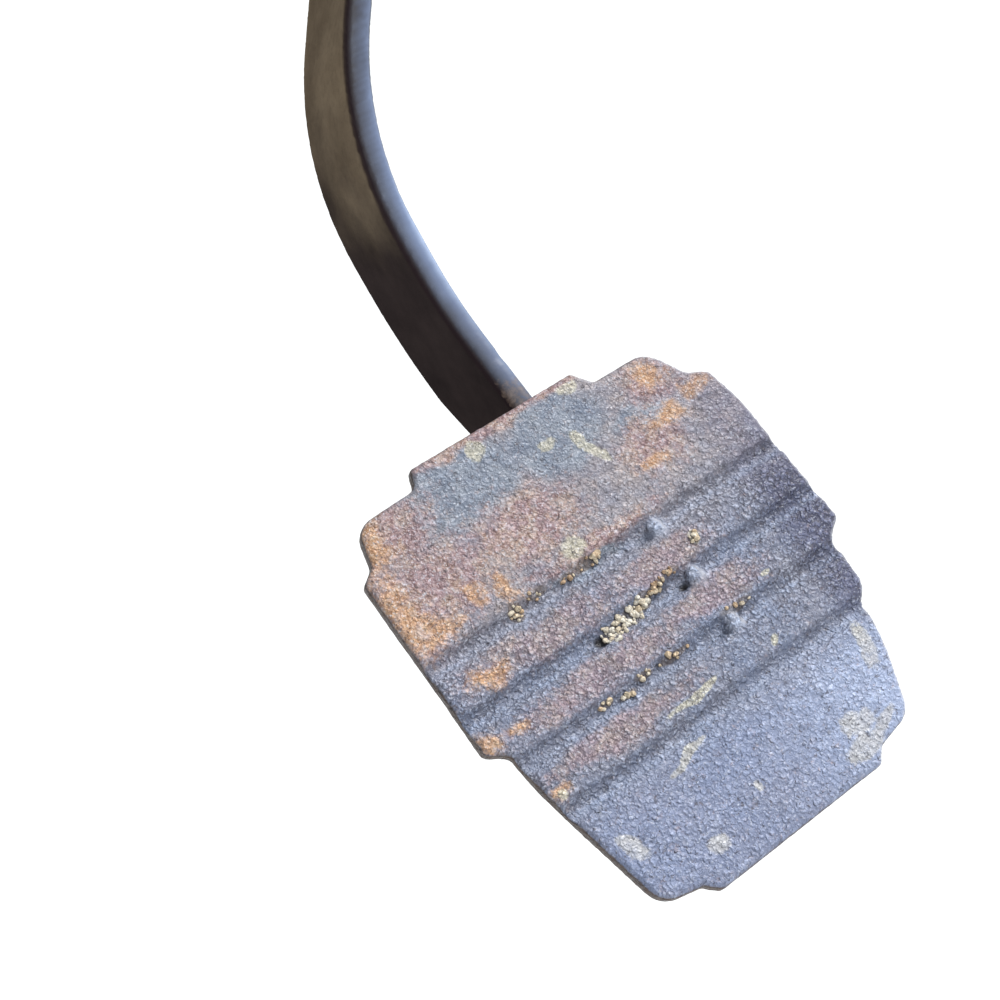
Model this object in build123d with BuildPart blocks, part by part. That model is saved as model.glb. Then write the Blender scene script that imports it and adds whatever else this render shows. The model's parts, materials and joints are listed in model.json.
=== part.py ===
"""Hanging clutch pedal with its bracket, return spring, rest stop and pushrod linkage.

The origin is the middle of the four fixing bolts, on the face that lies against the bulkhead.  +X runs
along the pivot axis to the driver's right, +Y forward through the bulkhead and +Z up.  Sizes are in
millimetres and degrees, and places are given from the middle of the pivot axis unless said otherwise.
"""

from build123d import *
import os
from math import cos, pi, radians, sin, tan

os.makedirs("parts", exist_ok=True)

# ---------------------------------------------------------------- driving dimensions
# pad plate
pad_tilt = 35.0  # lean of the pad face from upright
pad_thickness = 3.0
pad_height = 78.2
pad_edge_round = 0.9
pad_back_round = 0.5
groove_first = 27.9  # distance of the first cross groove below the pad's top edge
groove_pitch = 9.6
groove_count = 4
groove_depth = 1.0
groove_half_width = 1.9

# pedal arm
arm_thickness = 4.5
arm_depth = 23.0
arm_edge_round = 1.0
arm_x = 8.0  # middle of the arm's upper stretch, to the right of the tube's middle
arm_above_pivot_line = 230.0  # pad's top edge below the pivot axis
arm_leave = 14.0  # the arm runs straight behind the pad up to this far above its top edge
arm_foot_down = 56.0  # lowest point of the arm behind the pad, below its top edge
arm_foot_depth = 8.0
weld_bulge = 2.0  # radius of a bead's face, as a multiple of its leg
lower_curve_radius = 43.0  # driver-side edge
lower_curve_angle = 20.1
upper_curve_radius = 350.0
joggle_lean = 14.0  # lean of the plane the sideways joggle is bent in
joggle_start = 32.3  # above the pad's top edge, along the joggle plane
joggle_end_straight = 108.0
joggle_angle = 34.3
joggle_lower_radius = 58.75  # to the middle of the bar
joggle_upper_radius = 42.25
arm_off_pad = 6.41  # middle of the arm's lower stretch, to the right of the pad's middle
hub_radius = 19.0
eye_radius = 11.0
eye_blend = 14.0

# welds
pad_weld_leg = 4.0
pad_weld_top = 3.0
pad_weld_bottom = 53.0
plug_radius = 1.5
plug_stand = 0.5
plug_dome = 1.2
plug_places = ((10.0, 28.4), (10.4, 38.0), (10.8, 47.6))  # right of the pad's middle, below its top edge
tube_weld_leg = 3.0
bracket_weld_leg = 4.0

# pivot
cheek_gap = 44.0
side_play = 0.3
tube_radius = 12.0
tube_bore = 9.0
bush_bore = 7.05
bush_flange = 2.0
bush_length = 14.0
sleeve_radius = 7.0
sleeve_bore = 5.2
bolt_radius = 5.0
bolt_hole = 5.25
bolt_flats = 16.0
bolt_head = 6.4
nut_height = 8.0
bolt_past_nut = 3.0
washer_radius = 10.0
washer_thickness = 2.0
tube_chamfer = 0.6
thread_chamfer = 0.8
hex_turn = 1.04  # circle the hexagons' corners are turned to at their outer end
hex_taper = 30.0
slip = 0.02  # radial gap between parts that are pressed or screwed together
run = 0.05  # radial gap between parts that turn on each other

# bracket
sheet = 3.0
bend_radius = 6.0
web_top = 25.0
plate_front = 72.0  # bulkhead face ahead of the pivot axis
plate_thickness = 4.0
plate_width = 92.0
plate_top = 34.0
plate_bottom = -98.0
plate_corner = 9.0
fixing_x = 72.0
fixing_z = 108.0
fixing_hole = 4.5
fixing_middle_z = -32.0  # middle of the fixing bolts, from the pivot axis
rod_hole = 13.0
cylinder_spacing = 60.0
cylinder_hole = 4.25
plate_chamfer = 0.5
rod_hole_z = -58.0
cheek_corner = 9.0
cheek_rear = -40.0
cheek_above_stop = 2.0
cheek_below_stop = 4.0
cheek_step_y = 14.0
cheek_step_z = 4.0
cheek_bottom = -92.0
web_rear = -12.0
cheek_windows = ((44.0, -4.0, 10.0), (44.0, -44.0, 12.0), (16.0, -34.0, 8.0))  # middle y, z, radius

# rest stop
stop_plate_rear = -36.0
stop_plate_thickness = 4.0
stop_plate_top = -16.0
stop_plate_bottom = -44.0
stop_z = -30.0
m8_radius = 4.0
m8_flats = 13.0
m8_nut = 6.5
m8_head = 5.3
stop_screw_rear = -50.0
bumper_radius = 8.0
bumper_length = 10.0
bumper_socket = 5.0
bumper_gap = 0.1
bumper_round = 2.0
bumper_base_round = 1.0
stop_weld_leg = 3.0
stop_weld_inset = 2.0

# return spring
wire_radius = 1.5
coil_radius = 14.3
coil_turns = 4
coil_pitch = 3.25
coil_start_x = -16.2
spring_top_lean = 8.0
spring_low_lean = 15.5
spring_top_leg = 45.0
spring_low_leg = 31.3
spring_tip = 13.0
spring_bend = 3.0
spring_hole = 1.9

# fork joint and pushrod
pin_radius_arm = 60.0  # pivot axis to clevis pin
pin_angle = 10.0  # pin behind the vertical through the pivot at rest
fork_gap = 8.0
fork_width = 16.0
fork_slot = 32.0  # pin to the bottom of the slot
fork_length = 48.0  # pin to the rod end of the fork
fork_nose = 10.0
fork_neck = 7.0
fork_neck_length = 6.0
fork_edge = 1.0
fork_nose_round = 5.0
slot_overrun = 1.0  # the rod's hole starts this far inside the slot
spacer_thickness = 1.6
pin_head_radius = 6.0
pin_head = 3.0
pin_past_fork = 5.0
clip_wire = 0.9
clip_reach = 9.0
clip_loop = 2.6
clip_flare = 1.5
clip_flare_start = 4.5  # below the pin's middle
pin_bush_radius = 5.0
rod_tip_y = 112.0
rod_thread_end_y = 74.0
rod_nose_radius = 3.5
rod_in_fork = 12.0
rod_nose_round = 3.3

# ---------------------------------------------------------------- derived places
pivot = Vector(0, -plate_front, -fixing_middle_z)
pivot_axis = Axis(pivot, (1, 0, 0))
pad_top_x = arm_x - arm_off_pad - (
    (joggle_lower_radius + joggle_upper_radius) * (1 - cos(radians(joggle_angle)))
    + (joggle_end_straight - joggle_start - joggle_lower_radius * sin(radians(joggle_angle)))
    * tan(radians(joggle_angle))
)
curve_rise = lower_curve_radius * sin(radians(lower_curve_angle)) + upper_curve_radius * (
    sin(radians(pad_tilt)) - sin(radians(lower_curve_angle))
)
curve_reach = lower_curve_radius * (1 - cos(radians(lower_curve_angle))) + upper_curve_radius * (
    cos(radians(lower_curve_angle)) - cos(radians(pad_tilt))
)
pad_top_y = -(
    (arm_leave + curve_rise) * sin(radians(pad_tilt))
    - (curve_reach - pad_thickness) * cos(radians(pad_tilt))
    + arm_depth / 2
)
pad_top_z = -arm_above_pivot_line
pad_plane = Plane(
    origin=pivot + Vector(pad_top_x, pad_top_y, pad_top_z),
    x_dir=(1, 0, 0),
    z_dir=(0, -cos(radians(pad_tilt)), sin(radians(pad_tilt))),
)
pin_y = -pin_radius_arm * sin(radians(pin_angle))
pin_z = -pin_radius_arm * cos(radians(pin_angle))
tube_length = cheek_gap - 2 * (side_play + bush_flange)
cheek_outside = cheek_gap / 2 + sheet
plate_rear = plate_front - plate_thickness


def behind_pad(down, behind):
    """Side-view point (y, z) a distance below the pad's top edge and behind its face."""
    lean = radians(pad_tilt)
    return (
        pad_top_y - down * sin(lean) + behind * cos(lean),
        pad_top_z - down * cos(lean) - behind * sin(lean),
    )


def along(x, y=0.0, z=0.0):
    """Plane across the X axis at x, with its middle on (y, z)."""
    return Plane(origin=pivot + Vector(x, y, z), x_dir=(0, 1, 0), z_dir=(1, 0, 0))


def forward(y, x=0.0, z=0.0):
    """Plane across the Y axis at y, facing forward, with its middle on (x, z)."""
    return Plane(origin=pivot + Vector(x, y, z), x_dir=(-1, 0, 0), z_dir=(0, 1, 0))


# ---------------------------------------------------------------- pad plate
# outline corners, one side at a time: distance from the middle, below the top edge, corner radius;
# the two sides differ a little, as on a pressed plate that has been stood on for years
pad_right = (
    (15.0, 0.0, 1.0),
    (17.2, 3.2, 1.6),
    (27.8, 3.4, 4.5),
    (31.4, 9.9, 1.4),
    (34.9, 11.8, 1.0),
    (36.2, 18.0, 20.0),
    (37.0, 43.2, 1.2),
    (33.7, 45.4, 1.6),
    (33.2, 54.0, 4.0),
    (30.9, 56.8, 3.0),
    (30.0, 62.8, 30.0),
    (25.4, 74.4, 4.2),
    (18.2, 76.0, 1.2),
    (16.3, pad_height, 1.2),
)
pad_left = (
    (17.0, -0.4, 0.8),
    (18.2, 2.7, 1.4),
    (29.5, 3.0, 3.6),
    (31.2, 9.4, 1.2),
    (33.9, 11.3, 0.9),
    (34.1, 30.0, 80.0),
    (34.3, 42.6, 1.2),
    (31.0, 44.7, 1.6),
    (30.5, 51.0, 30.0),
    (29.0, 59.0, 60.0),
    (25.6, 75.1, 4.4),
    (18.9, 76.5, 1.2),
    (16.6, pad_height + 0.4, 1.2),
)
pad_corners = [((x, -down), radius) for x, down, radius in pad_right]
pad_corners += [((-x, -down), radius) for x, down, radius in reversed(pad_left)]


with BuildPart() as pad_plate:
    with BuildSketch(pad_plane):
        with BuildLine():
            FilletPolyline(
                *[point for point, radius in pad_corners],
                radius=[radius for point, radius in pad_corners],
                close=True,
            )
        make_face()
    extrude(amount=-pad_thickness)
    outward = Axis(pad_plane.origin, pad_plane.z_dir)
    back_face, front_face = pad_plate.faces().filter_by(outward).sort_by(outward)
    fillet(front_face.edges(), pad_edge_round)
    fillet(back_face.edges(), pad_back_round)
    groove_radius = (groove_half_width**2 + groove_depth**2) / (2 * groove_depth)
    section = Plane(origin=pad_plane.origin, x_dir=pad_plane.y_dir, z_dir=(1, 0, 0))
    groove_height = groove_radius - groove_depth
    with BuildSketch(section):
        for index in range(groove_count):
            middle = -(groove_first + index * groove_pitch)
            with Locations((middle, groove_height)):
                Circle(groove_radius)
    extrude(amount=pad_height, both=True, mode=Mode.SUBTRACT)
    with BuildSketch(pad_plane):
        with Locations(*[(x, -down) for x, down in plug_places]):
            Circle(plug_radius)
    extrude(amount=-pad_thickness, mode=Mode.SUBTRACT)
pad_plate.part.label = "pad_plate"
export_step(pad_plate.part, "parts/pad_plate.step")

# ---------------------------------------------------------------- plug welds
with BuildPart() as plug_welds:
    with BuildSketch(pad_plane.offset(-pad_thickness)):
        with Locations(*[(x, -down) for x, down in plug_places]):
            Circle(plug_radius)
    extrude(amount=pad_thickness + plug_stand)
    tops = plug_welds.faces().sort_by(outward)[-len(plug_places) :]
    fillet(tops.edges(), plug_dome)
plug_welds.part.label = "plug_welds"
export_step(plug_welds.part, "parts/plug_welds.step")

# ---------------------------------------------------------------- pedal arm
lower_tangent = (sin(radians(pad_tilt)), cos(radians(pad_tilt)))
spring_hole_y = -coil_radius * cos(radians(spring_low_lean)) + spring_low_leg * sin(
    radians(spring_low_lean)
)
spring_hole_z = -coil_radius * sin(radians(spring_low_lean)) - spring_low_leg * cos(
    radians(spring_low_lean)
)
joggle_plane = Plane(
    origin=pivot,
    x_dir=(1, 0, 0),
    z_dir=(0, -cos(radians(joggle_lean)), sin(radians(joggle_lean))),
)
pad_top_along = pad_top_y * sin(radians(joggle_lean)) + pad_top_z * cos(radians(joggle_lean))
arm_reach = 400.0

with BuildPart() as pedal_arm:
    with BuildSketch(along(0)) as side:
        with BuildLine():
            front_foot = behind_pad(arm_foot_down, pad_thickness)
            rear_foot = behind_pad(arm_foot_down, pad_thickness + arm_foot_depth)
            front_start = behind_pad(-arm_leave, pad_thickness)
            rear_start = behind_pad(-arm_leave, pad_thickness + arm_depth)
            Line(front_foot, front_start)
            front_low = JernArc(front_start, lower_tangent, lower_curve_radius, lower_curve_angle)
            front_high = JernArc(
                front_low @ 1, front_low % 1, upper_curve_radius, pad_tilt - lower_curve_angle
            )
            rear_low = JernArc(
                rear_start, lower_tangent, lower_curve_radius + arm_depth, lower_curve_angle
            )
            rear_high = JernArc(
                rear_low @ 1,
                rear_low % 1,
                upper_curve_radius + arm_depth,
                pad_tilt - lower_curve_angle,
            )
            Line(front_high @ 1, ((front_high @ 1).X, 0))
            Line(rear_high @ 1, ((rear_high @ 1).X, 0))
            Line(((front_high @ 1).X, 0), ((rear_high @ 1).X, 0))
            Line(front_foot, rear_foot)
            Line(rear_foot, rear_start)
        make_face()
        Circle(hub_radius)
        with Locations((pin_y, pin_z)):
            Circle(eye_radius)
        inner = side.vertices().filter_by(lambda v: pin_z - eye_radius < v.Y < -tube_radius)
        fillet(inner, eye_blend)
    extrude(amount=arm_reach, both=True)
    with BuildSketch(joggle_plane):
        with BuildLine() as joggle:
            start = Line(
                (pad_top_x + arm_off_pad, pad_top_along - pad_height),
                (pad_top_x + arm_off_pad, pad_top_along + joggle_start),
            )
            low = JernArc(start @ 1, (0, 1), joggle_lower_radius, -joggle_angle)
            slope = Vector(sin(radians(joggle_angle)), cos(radians(joggle_angle)))
            rise = pad_top_along + joggle_end_straight - (low @ 1).Y
            slant = Line(low @ 1, low @ 1 + slope * (rise / slope.Y))
            high = JernArc(slant @ 1, slope, joggle_upper_radius, joggle_angle)
            Line(high @ 1, (arm_x, 2 * hub_radius))
            offset(amount=arm_thickness / 2, side=Side.BOTH)
        make_face()
    extrude(amount=arm_reach, both=True, mode=Mode.INTERSECT)
    long_edges = pedal_arm.edges().filter_by(lambda edge: edge.length > 1.5 * arm_thickness)
    fillet(long_edges, arm_edge_round)
    with BuildSketch(along(0)):
        Circle(tube_radius + slip)
        with Locations((pin_y, pin_z)):
            Circle(pin_bush_radius)
        with Locations((spring_hole_y, spring_hole_z)):
            Circle(spring_hole)
    extrude(amount=arm_reach, both=True, mode=Mode.SUBTRACT)
pedal_arm.part.label = "pedal_arm"
export_step(pedal_arm.part, "parts/pedal_arm.step")

# ---------------------------------------------------------------- welds
pad_weld_length = pad_weld_bottom - pad_weld_top
weld_back = pad_plane.offset(-pad_thickness)
with BuildPart() as pad_welds:
    for side_sign in (-1, 1):
        face_x = arm_off_pad + side_sign * arm_thickness / 2
        section = Plane(
            origin=weld_back.from_local_coords((face_x, -pad_weld_top, 0)),
            x_dir=(side_sign, 0, 0),
            z_dir=-pad_plane.y_dir,
        )
        inward = section.to_local_coords(section.origin - pad_plane.z_dir)
        with BuildSketch(section):
            with BuildLine():
                Line((0, 0), (pad_weld_leg, 0))
                Line((0, 0), (0, inward.Y * pad_weld_leg))
                RadiusArc(
                    (pad_weld_leg, 0),
                    (0, inward.Y * pad_weld_leg),
                    -inward.Y * weld_bulge * pad_weld_leg,
                )
            make_face()
        extrude(amount=pad_weld_length)
pad_welds.part.label = "pad_welds"
export_step(pad_welds.part, "parts/pad_welds.step")

with BuildPart() as tube_welds:
    for side_sign in (-1, 1):
        face_x = arm_x + side_sign * arm_thickness / 2
        with BuildSketch(Plane(pivot)):
            with BuildLine():
                Polyline(
                    (face_x, tube_radius),
                    (face_x + side_sign * tube_weld_leg, tube_radius),
                    (face_x, tube_radius + tube_weld_leg),
                    close=True,
                )
            make_face()
        revolve(axis=pivot_axis)
tube_welds.part.label = "tube_welds"
export_step(tube_welds.part, "parts/tube_welds.step")

# ---------------------------------------------------------------- pivot
with BuildPart() as pivot_tube:
    with BuildSketch(along(-tube_length / 2)):
        Circle(tube_radius)
        Circle(tube_bore, mode=Mode.SUBTRACT)
    extrude(amount=tube_length)
    chamfer(pivot_tube.edges().filter_by(GeomType.CIRCLE), tube_chamfer)
pivot_tube.part.label = "pivot_tube"
export_step(pivot_tube.part, "parts/pivot_tube.step")

with BuildPart() as bush_right:
    with BuildSketch(along(tube_length / 2 - bush_length)):
        Circle(tube_bore - slip)
    extrude(amount=bush_length)
    with BuildSketch(along(tube_length / 2)):
        Circle(tube_radius)
    extrude(amount=bush_flange)
    chamfer(bush_right.edges().filter_by(GeomType.CIRCLE).sort_by(Axis.X)[-1], tube_chamfer)
    with BuildSketch(along(0)):
        Circle(bush_bore)
    extrude(amount=cheek_gap, mode=Mode.SUBTRACT)
bush_right.part.label = "bush_right"
export_step(bush_right.part, "parts/bush_right.step")

with BuildPart() as bush_left:
    add(bush_right.part)
    mirror(about=Plane.YZ, mode=Mode.REPLACE)
bush_left.part.label = "bush_left"
export_step(bush_left.part, "parts/bush_left.step")

with BuildPart() as pivot_sleeve:
    with BuildSketch(along(-cheek_gap / 2)):
        Circle(sleeve_radius)
        Circle(sleeve_bore, mode=Mode.SUBTRACT)
    extrude(amount=cheek_gap)
pivot_sleeve.part.label = "pivot_sleeve"
export_step(pivot_sleeve.part, "parts/pivot_sleeve.step")

washer_outside = cheek_outside + washer_thickness
nut_outside = washer_outside + nut_height


def hex_solid(plane, flats, height):
    """Hexagon block with its corners turned off at the outer end."""
    with BuildPart() as block:
        with BuildSketch(plane):
            RegularPolygon(flats / 2, 6, major_radius=False)
        extrude(amount=height)
        with BuildSketch(plane):
            Circle(flats / 2 * hex_turn)
        extrude(amount=height, taper=-hex_taper, mode=Mode.INTERSECT)
    return block.part


with BuildPart() as pivot_bolt:
    add(hex_solid(along(-washer_outside).reverse(), bolt_flats, bolt_head))
    with BuildSketch(along(-washer_outside)):
        Circle(bolt_radius)
    extrude(amount=washer_outside + nut_outside + bolt_past_nut)
    chamfer(pivot_bolt.edges().sort_by(Axis.X)[-1], thread_chamfer)
pivot_bolt.part.label = "pivot_bolt"
export_step(pivot_bolt.part, "parts/pivot_bolt.step")

with BuildPart() as pivot_nut:
    add(hex_solid(along(washer_outside), bolt_flats, nut_height))
    with BuildSketch(along(washer_outside)):
        Circle(bolt_radius + slip)
    extrude(amount=nut_height, mode=Mode.SUBTRACT)
pivot_nut.part.label = "pivot_nut"
export_step(pivot_nut.part, "parts/pivot_nut.step")

with BuildPart() as pivot_washers:
    for inner_x in (-washer_outside, cheek_outside):
        with BuildSketch(along(inner_x)):
            Circle(washer_radius)
            Circle(bolt_hole, mode=Mode.SUBTRACT)
        extrude(amount=washer_thickness)
pivot_washers.part.label = "pivot_washers"
export_step(pivot_washers.part, "parts/pivot_washers.step")

# ---------------------------------------------------------------- bracket
with BuildPart() as bracket_channel:
    with BuildSketch(forward(stop_plate_rear - cheek_corner)):
        with BuildLine():
            FilletPolyline(
                (-cheek_outside, plate_bottom),
                (-cheek_outside, web_top),
                (cheek_outside, web_top),
                (cheek_outside, plate_bottom),
                radius=bend_radius,
            )
            offset(amount=-sheet, side=Side.RIGHT)
        make_face()
    extrude(amount=plate_rear - stop_plate_rear + cheek_corner)
    with BuildSketch(along(0)):
        with BuildLine():
            FilletPolyline(
                (plate_rear, web_top),
                (web_rear, web_top),
                (cheek_rear, stop_plate_top + cheek_above_stop),
                (cheek_rear, stop_plate_bottom - cheek_below_stop),
                (cheek_rear + cheek_step_y, stop_plate_bottom - cheek_below_stop - cheek_step_z),
                (plate_rear, cheek_bottom),
                radius=cheek_corner,
            )
            Line((plate_rear, cheek_bottom), (plate_rear, web_top))
        make_face()
    extrude(amount=plate_width, both=True, mode=Mode.INTERSECT)
    with BuildSketch(along(0)):
        Circle(bolt_hole)
        for hole_y, hole_z, hole_r in cheek_windows:
            with Locations((hole_y, hole_z)):
                Circle(hole_r)
    extrude(amount=plate_width, both=True, mode=Mode.SUBTRACT)
bracket_channel.part.label = "bracket_channel"
export_step(bracket_channel.part, "parts/bracket_channel.step")

with BuildPart() as bulkhead_plate:
    plate_middle_z = (plate_top + plate_bottom) / 2
    with BuildSketch(forward(plate_rear, 0, plate_middle_z)):
        RectangleRounded(plate_width, plate_top - plate_bottom, plate_corner)
        with Locations((0, fixing_middle_z - plate_middle_z)):
            with GridLocations(fixing_x, fixing_z, 2, 2):
                Circle(fixing_hole, mode=Mode.SUBTRACT)
        with Locations((-arm_x, rod_hole_z - plate_middle_z)):
            Circle(rod_hole, mode=Mode.SUBTRACT)
            with GridLocations(0, cylinder_spacing, 1, 2):
                Circle(cylinder_hole, mode=Mode.SUBTRACT)
    extrude(amount=plate_thickness)
    chamfer(bulkhead_plate.faces().sort_by(Axis.Y)[0].outer_wire().edges(), plate_chamfer)
bulkhead_plate.part.label = "bulkhead_plate"
export_step(bulkhead_plate.part, "parts/bulkhead_plate.step")


def bead(start, end, out, leg):
    """Straight fillet bead from start to end; one leg lies along out, the other across it."""
    run_dir = (Vector(*end) - Vector(*start)).normalized()
    section = Plane(origin=pivot + Vector(*start), x_dir=out, z_dir=run_dir)
    with BuildPart() as solid:
        with BuildSketch(section):
            with BuildLine():
                Line((0, 0), (leg, 0))
                RadiusArc((leg, 0), (0, leg), -weld_bulge * leg)
                Line((0, leg), (0, 0))
            make_face()
        extrude(amount=(Vector(*end) - Vector(*start)).length)
    return solid.part


weld_bottom = cheek_bottom + bracket_weld_leg
weld_top = web_top - bend_radius
web_half = cheek_outside - bend_radius
stop_low = stop_plate_bottom + stop_weld_inset
stop_high = stop_plate_top - stop_weld_inset
with BuildPart() as bracket_welds:
    for side_sign, ends in ((1, (weld_top, weld_bottom)), (-1, (weld_bottom, weld_top))):
        outside_line = [(side_sign * cheek_outside, plate_rear, z) for z in ends]
        add(bead(*outside_line, (side_sign, 0, 0), bracket_weld_leg))
    web_line = [(x, plate_rear, web_top) for x in (-web_half, web_half)]
    add(bead(*web_line, (0, 0, 1), bracket_weld_leg))
    for side_sign, ends in ((1, (stop_high, stop_low)), (-1, (stop_low, stop_high))):
        inside_line = [(side_sign * cheek_gap / 2, stop_plate_rear, z) for z in ends]
        add(bead(*inside_line, (0, -1, 0), stop_weld_leg))
bracket_welds.part.label = "bracket_welds"
export_step(bracket_welds.part, "parts/bracket_welds.step")

# ---------------------------------------------------------------- rest stop
with BuildPart() as stop_plate:
    with BuildSketch(forward(stop_plate_rear, 0, (stop_plate_top + stop_plate_bottom) / 2)):
        Rectangle(cheek_gap, stop_plate_top - stop_plate_bottom)
        with Locations((-arm_x, stop_z - (stop_plate_top + stop_plate_bottom) / 2)):
            Circle(m8_radius + slip, mode=Mode.SUBTRACT)
    extrude(amount=stop_plate_thickness)
stop_plate.part.label = "stop_plate"
export_step(stop_plate.part, "parts/stop_plate.step")

bumper_rear = -arm_depth / 2 - bumper_gap - bumper_length
with BuildPart() as stop_screw:
    add(hex_solid(forward(stop_screw_rear, arm_x, stop_z).reverse(), m8_flats, m8_head))
    with BuildSketch(forward(stop_screw_rear, arm_x, stop_z)):
        Circle(m8_radius)
    extrude(amount=bumper_rear + bumper_socket - slip - stop_screw_rear)
    chamfer(stop_screw.edges().sort_by(Axis.Y)[-1], thread_chamfer)
stop_screw.part.label = "stop_screw"
export_step(stop_screw.part, "parts/stop_screw.step")

with BuildPart() as stop_nut:
    add(hex_solid(forward(stop_plate_rear, arm_x, stop_z).reverse(), m8_flats, m8_nut))
    with BuildSketch(forward(stop_plate_rear - m8_nut, arm_x, stop_z)):
        Circle(m8_radius + slip)
    extrude(amount=m8_nut, mode=Mode.SUBTRACT)
stop_nut.part.label = "stop_nut"
export_step(stop_nut.part, "parts/stop_nut.step")

with BuildPart() as stop_bumper:
    with BuildSketch(forward(bumper_rear, arm_x, stop_z)):
        Circle(bumper_radius)
    extrude(amount=bumper_length)
    fillet(stop_bumper.edges().sort_by(Axis.Y)[-1], bumper_round)
    fillet(stop_bumper.edges().sort_by(Axis.Y)[0], bumper_base_round)
    with BuildSketch(forward(bumper_rear, arm_x, stop_z)):
        Circle(m8_radius + slip)
    extrude(amount=bumper_socket, mode=Mode.SUBTRACT)
stop_bumper.part.label = "stop_bumper"
export_step(stop_bumper.part, "parts/stop_bumper.step")

# ---------------------------------------------------------------- return spring
coil_slope = coil_pitch / (2 * pi * coil_radius)
coil_start_angle = 90 + spring_top_lean
coil_sweep = 90 + spring_low_lean - spring_top_lean + 360 * coil_turns
coil_end_angle = coil_start_angle + coil_sweep


def coil_direction(degree):
    """Direction of travel along the coil at an angle about the X axis, from +Y towards +Z."""
    return Vector(coil_slope, -sin(radians(degree)), cos(radians(degree))).normalized()


with BuildLine() as coil_line:
    Helix(
        pitch=coil_pitch,
        height=coil_pitch * coil_sweep / 360,
        radius=coil_radius,
        center=(0, 0, 0),
    )
coil_place = Plane(
    origin=pivot + Vector(coil_start_x, 0, 0),
    x_dir=(0, cos(radians(coil_start_angle)), sin(radians(coil_start_angle))),
    z_dir=(1, 0, 0),
)
coil = coil_place.from_local_coords(coil_line.wire())
top_direction = coil_direction(coil_start_angle)
low_direction = coil_direction(coil_end_angle)
with BuildPart() as return_spring:
    with BuildSketch(Plane(origin=coil @ 0, z_dir=top_direction)):
        Circle(wire_radius)
    sweep(path=coil, is_frenet=True)
    with BuildSketch(Plane(origin=coil @ 0, z_dir=-top_direction)):
        Circle(wire_radius)
    extrude(amount=spring_top_leg)
    with BuildLine() as low_leg:
        low_corner = coil @ 1 + low_direction * spring_low_leg
        FilletPolyline(
            coil @ 1,
            low_corner,
            (spring_tip, low_corner.Y, low_corner.Z),
            radius=spring_bend,
        )
    with BuildSketch(Plane(origin=coil @ 1, z_dir=low_direction)):
        Circle(wire_radius)
    sweep(path=low_leg.wire())
return_spring.part.label = "return_spring"
export_step(return_spring.part, "parts/return_spring.step")

# ---------------------------------------------------------------- fork joint and pushrod
fork_end_y = pin_y + fork_length
slot_end_y = pin_y + fork_slot
rod_line = Axis(pivot + Vector(arm_x, 0, pin_z), (0, 1, 0))
with BuildPart() as clevis:
    with BuildSketch(along(arm_x - fork_width / 2, pin_y, pin_z)):
        with BuildLine():
            FilletPolyline(
                (-fork_nose, -fork_width / 2),
                (fork_length, -fork_width / 2),
                (fork_length, fork_width / 2),
                (-fork_nose, fork_width / 2),
                radius=(fork_nose_round, fork_edge, fork_edge, fork_nose_round),
                close=True,
            )
        make_face()
    extrude(amount=fork_width)
    long_edges = clevis.edges().filter_by(Axis.Y)
    fillet(long_edges, fork_edge)
    with BuildSketch(Plane(rod_line.position)):
        with BuildLine():
            Polyline(
                (0, fork_end_y),
                (fork_neck, fork_end_y),
                (fork_neck, fork_end_y - fork_neck_length),
                (2 * fork_width, pin_y),
                (2 * fork_width, -2 * fork_length),
                (0, -2 * fork_length),
                close=True,
            )
        make_face()
    revolve(axis=rod_line, mode=Mode.INTERSECT)
    with BuildSketch(along(arm_x - fork_gap / 2, pin_y, pin_z)):
        with Locations(((fork_slot - fork_width) / 2, 0)):
            Rectangle(fork_slot + fork_width, 2 * fork_width)
    extrude(amount=fork_gap, mode=Mode.SUBTRACT)
    with BuildSketch(along(arm_x - fork_width, pin_y, pin_z)):
        Circle(m8_radius + run)
    extrude(amount=2 * fork_width, mode=Mode.SUBTRACT)
    with BuildSketch(forward(slot_end_y - slot_overrun, arm_x, pin_z)):
        Circle(m8_radius + slip)
    extrude(amount=fork_length, mode=Mode.SUBTRACT)
clevis.part.label = "clevis"
export_step(clevis.part, "parts/clevis.step")

fork_left = arm_x - fork_width / 2
fork_right = arm_x + fork_width / 2
clip_x = fork_right + pin_past_fork / 2
with BuildPart() as clevis_pin:
    with BuildSketch(along(fork_left - pin_head, pin_y, pin_z)):
        Circle(pin_head_radius)
    extrude(amount=pin_head)
    chamfer(clevis_pin.edges().filter_by(GeomType.CIRCLE).sort_by(Axis.X)[0], tube_chamfer)
    with BuildSketch(along(fork_left, pin_y, pin_z)):
        Circle(m8_radius)
    extrude(amount=fork_width + pin_past_fork)
    chamfer(clevis_pin.edges().filter_by(GeomType.CIRCLE).sort_by(Axis.X)[-1], tube_chamfer)
    with BuildSketch(Plane(pivot + Vector(clip_x, pin_y, pin_z - fork_width))):
        Circle(clip_wire + run)
    extrude(amount=2 * fork_width, mode=Mode.SUBTRACT)
clevis_pin.part.label = "clevis_pin"
export_step(clevis_pin.part, "parts/clevis_pin.step")

with BuildPart() as clevis_clip:
    with BuildLine(along(clip_x, pin_y, pin_z)) as clip_line:
        leg = Line((0, -clip_reach), (0, clip_reach))
        loop = ThreePointArc(leg @ 1, (clip_loop, clip_reach + clip_loop), (2 * clip_loop, clip_reach))
        back = Line(loop @ 1, (2 * clip_loop, -clip_flare_start))
        TangentArc(back @ 1, (2 * clip_loop + clip_flare, -clip_reach), tangent=back % 1)
    with BuildSketch(Plane(origin=clip_line.wire() @ 0, z_dir=(0, 0, 1))):
        Circle(clip_wire)
    sweep(path=clip_line.wire(), transition=Transition.ROUND)
clevis_clip.part.label = "clevis_clip"
export_step(clevis_clip.part, "parts/clevis_clip.step")

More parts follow.
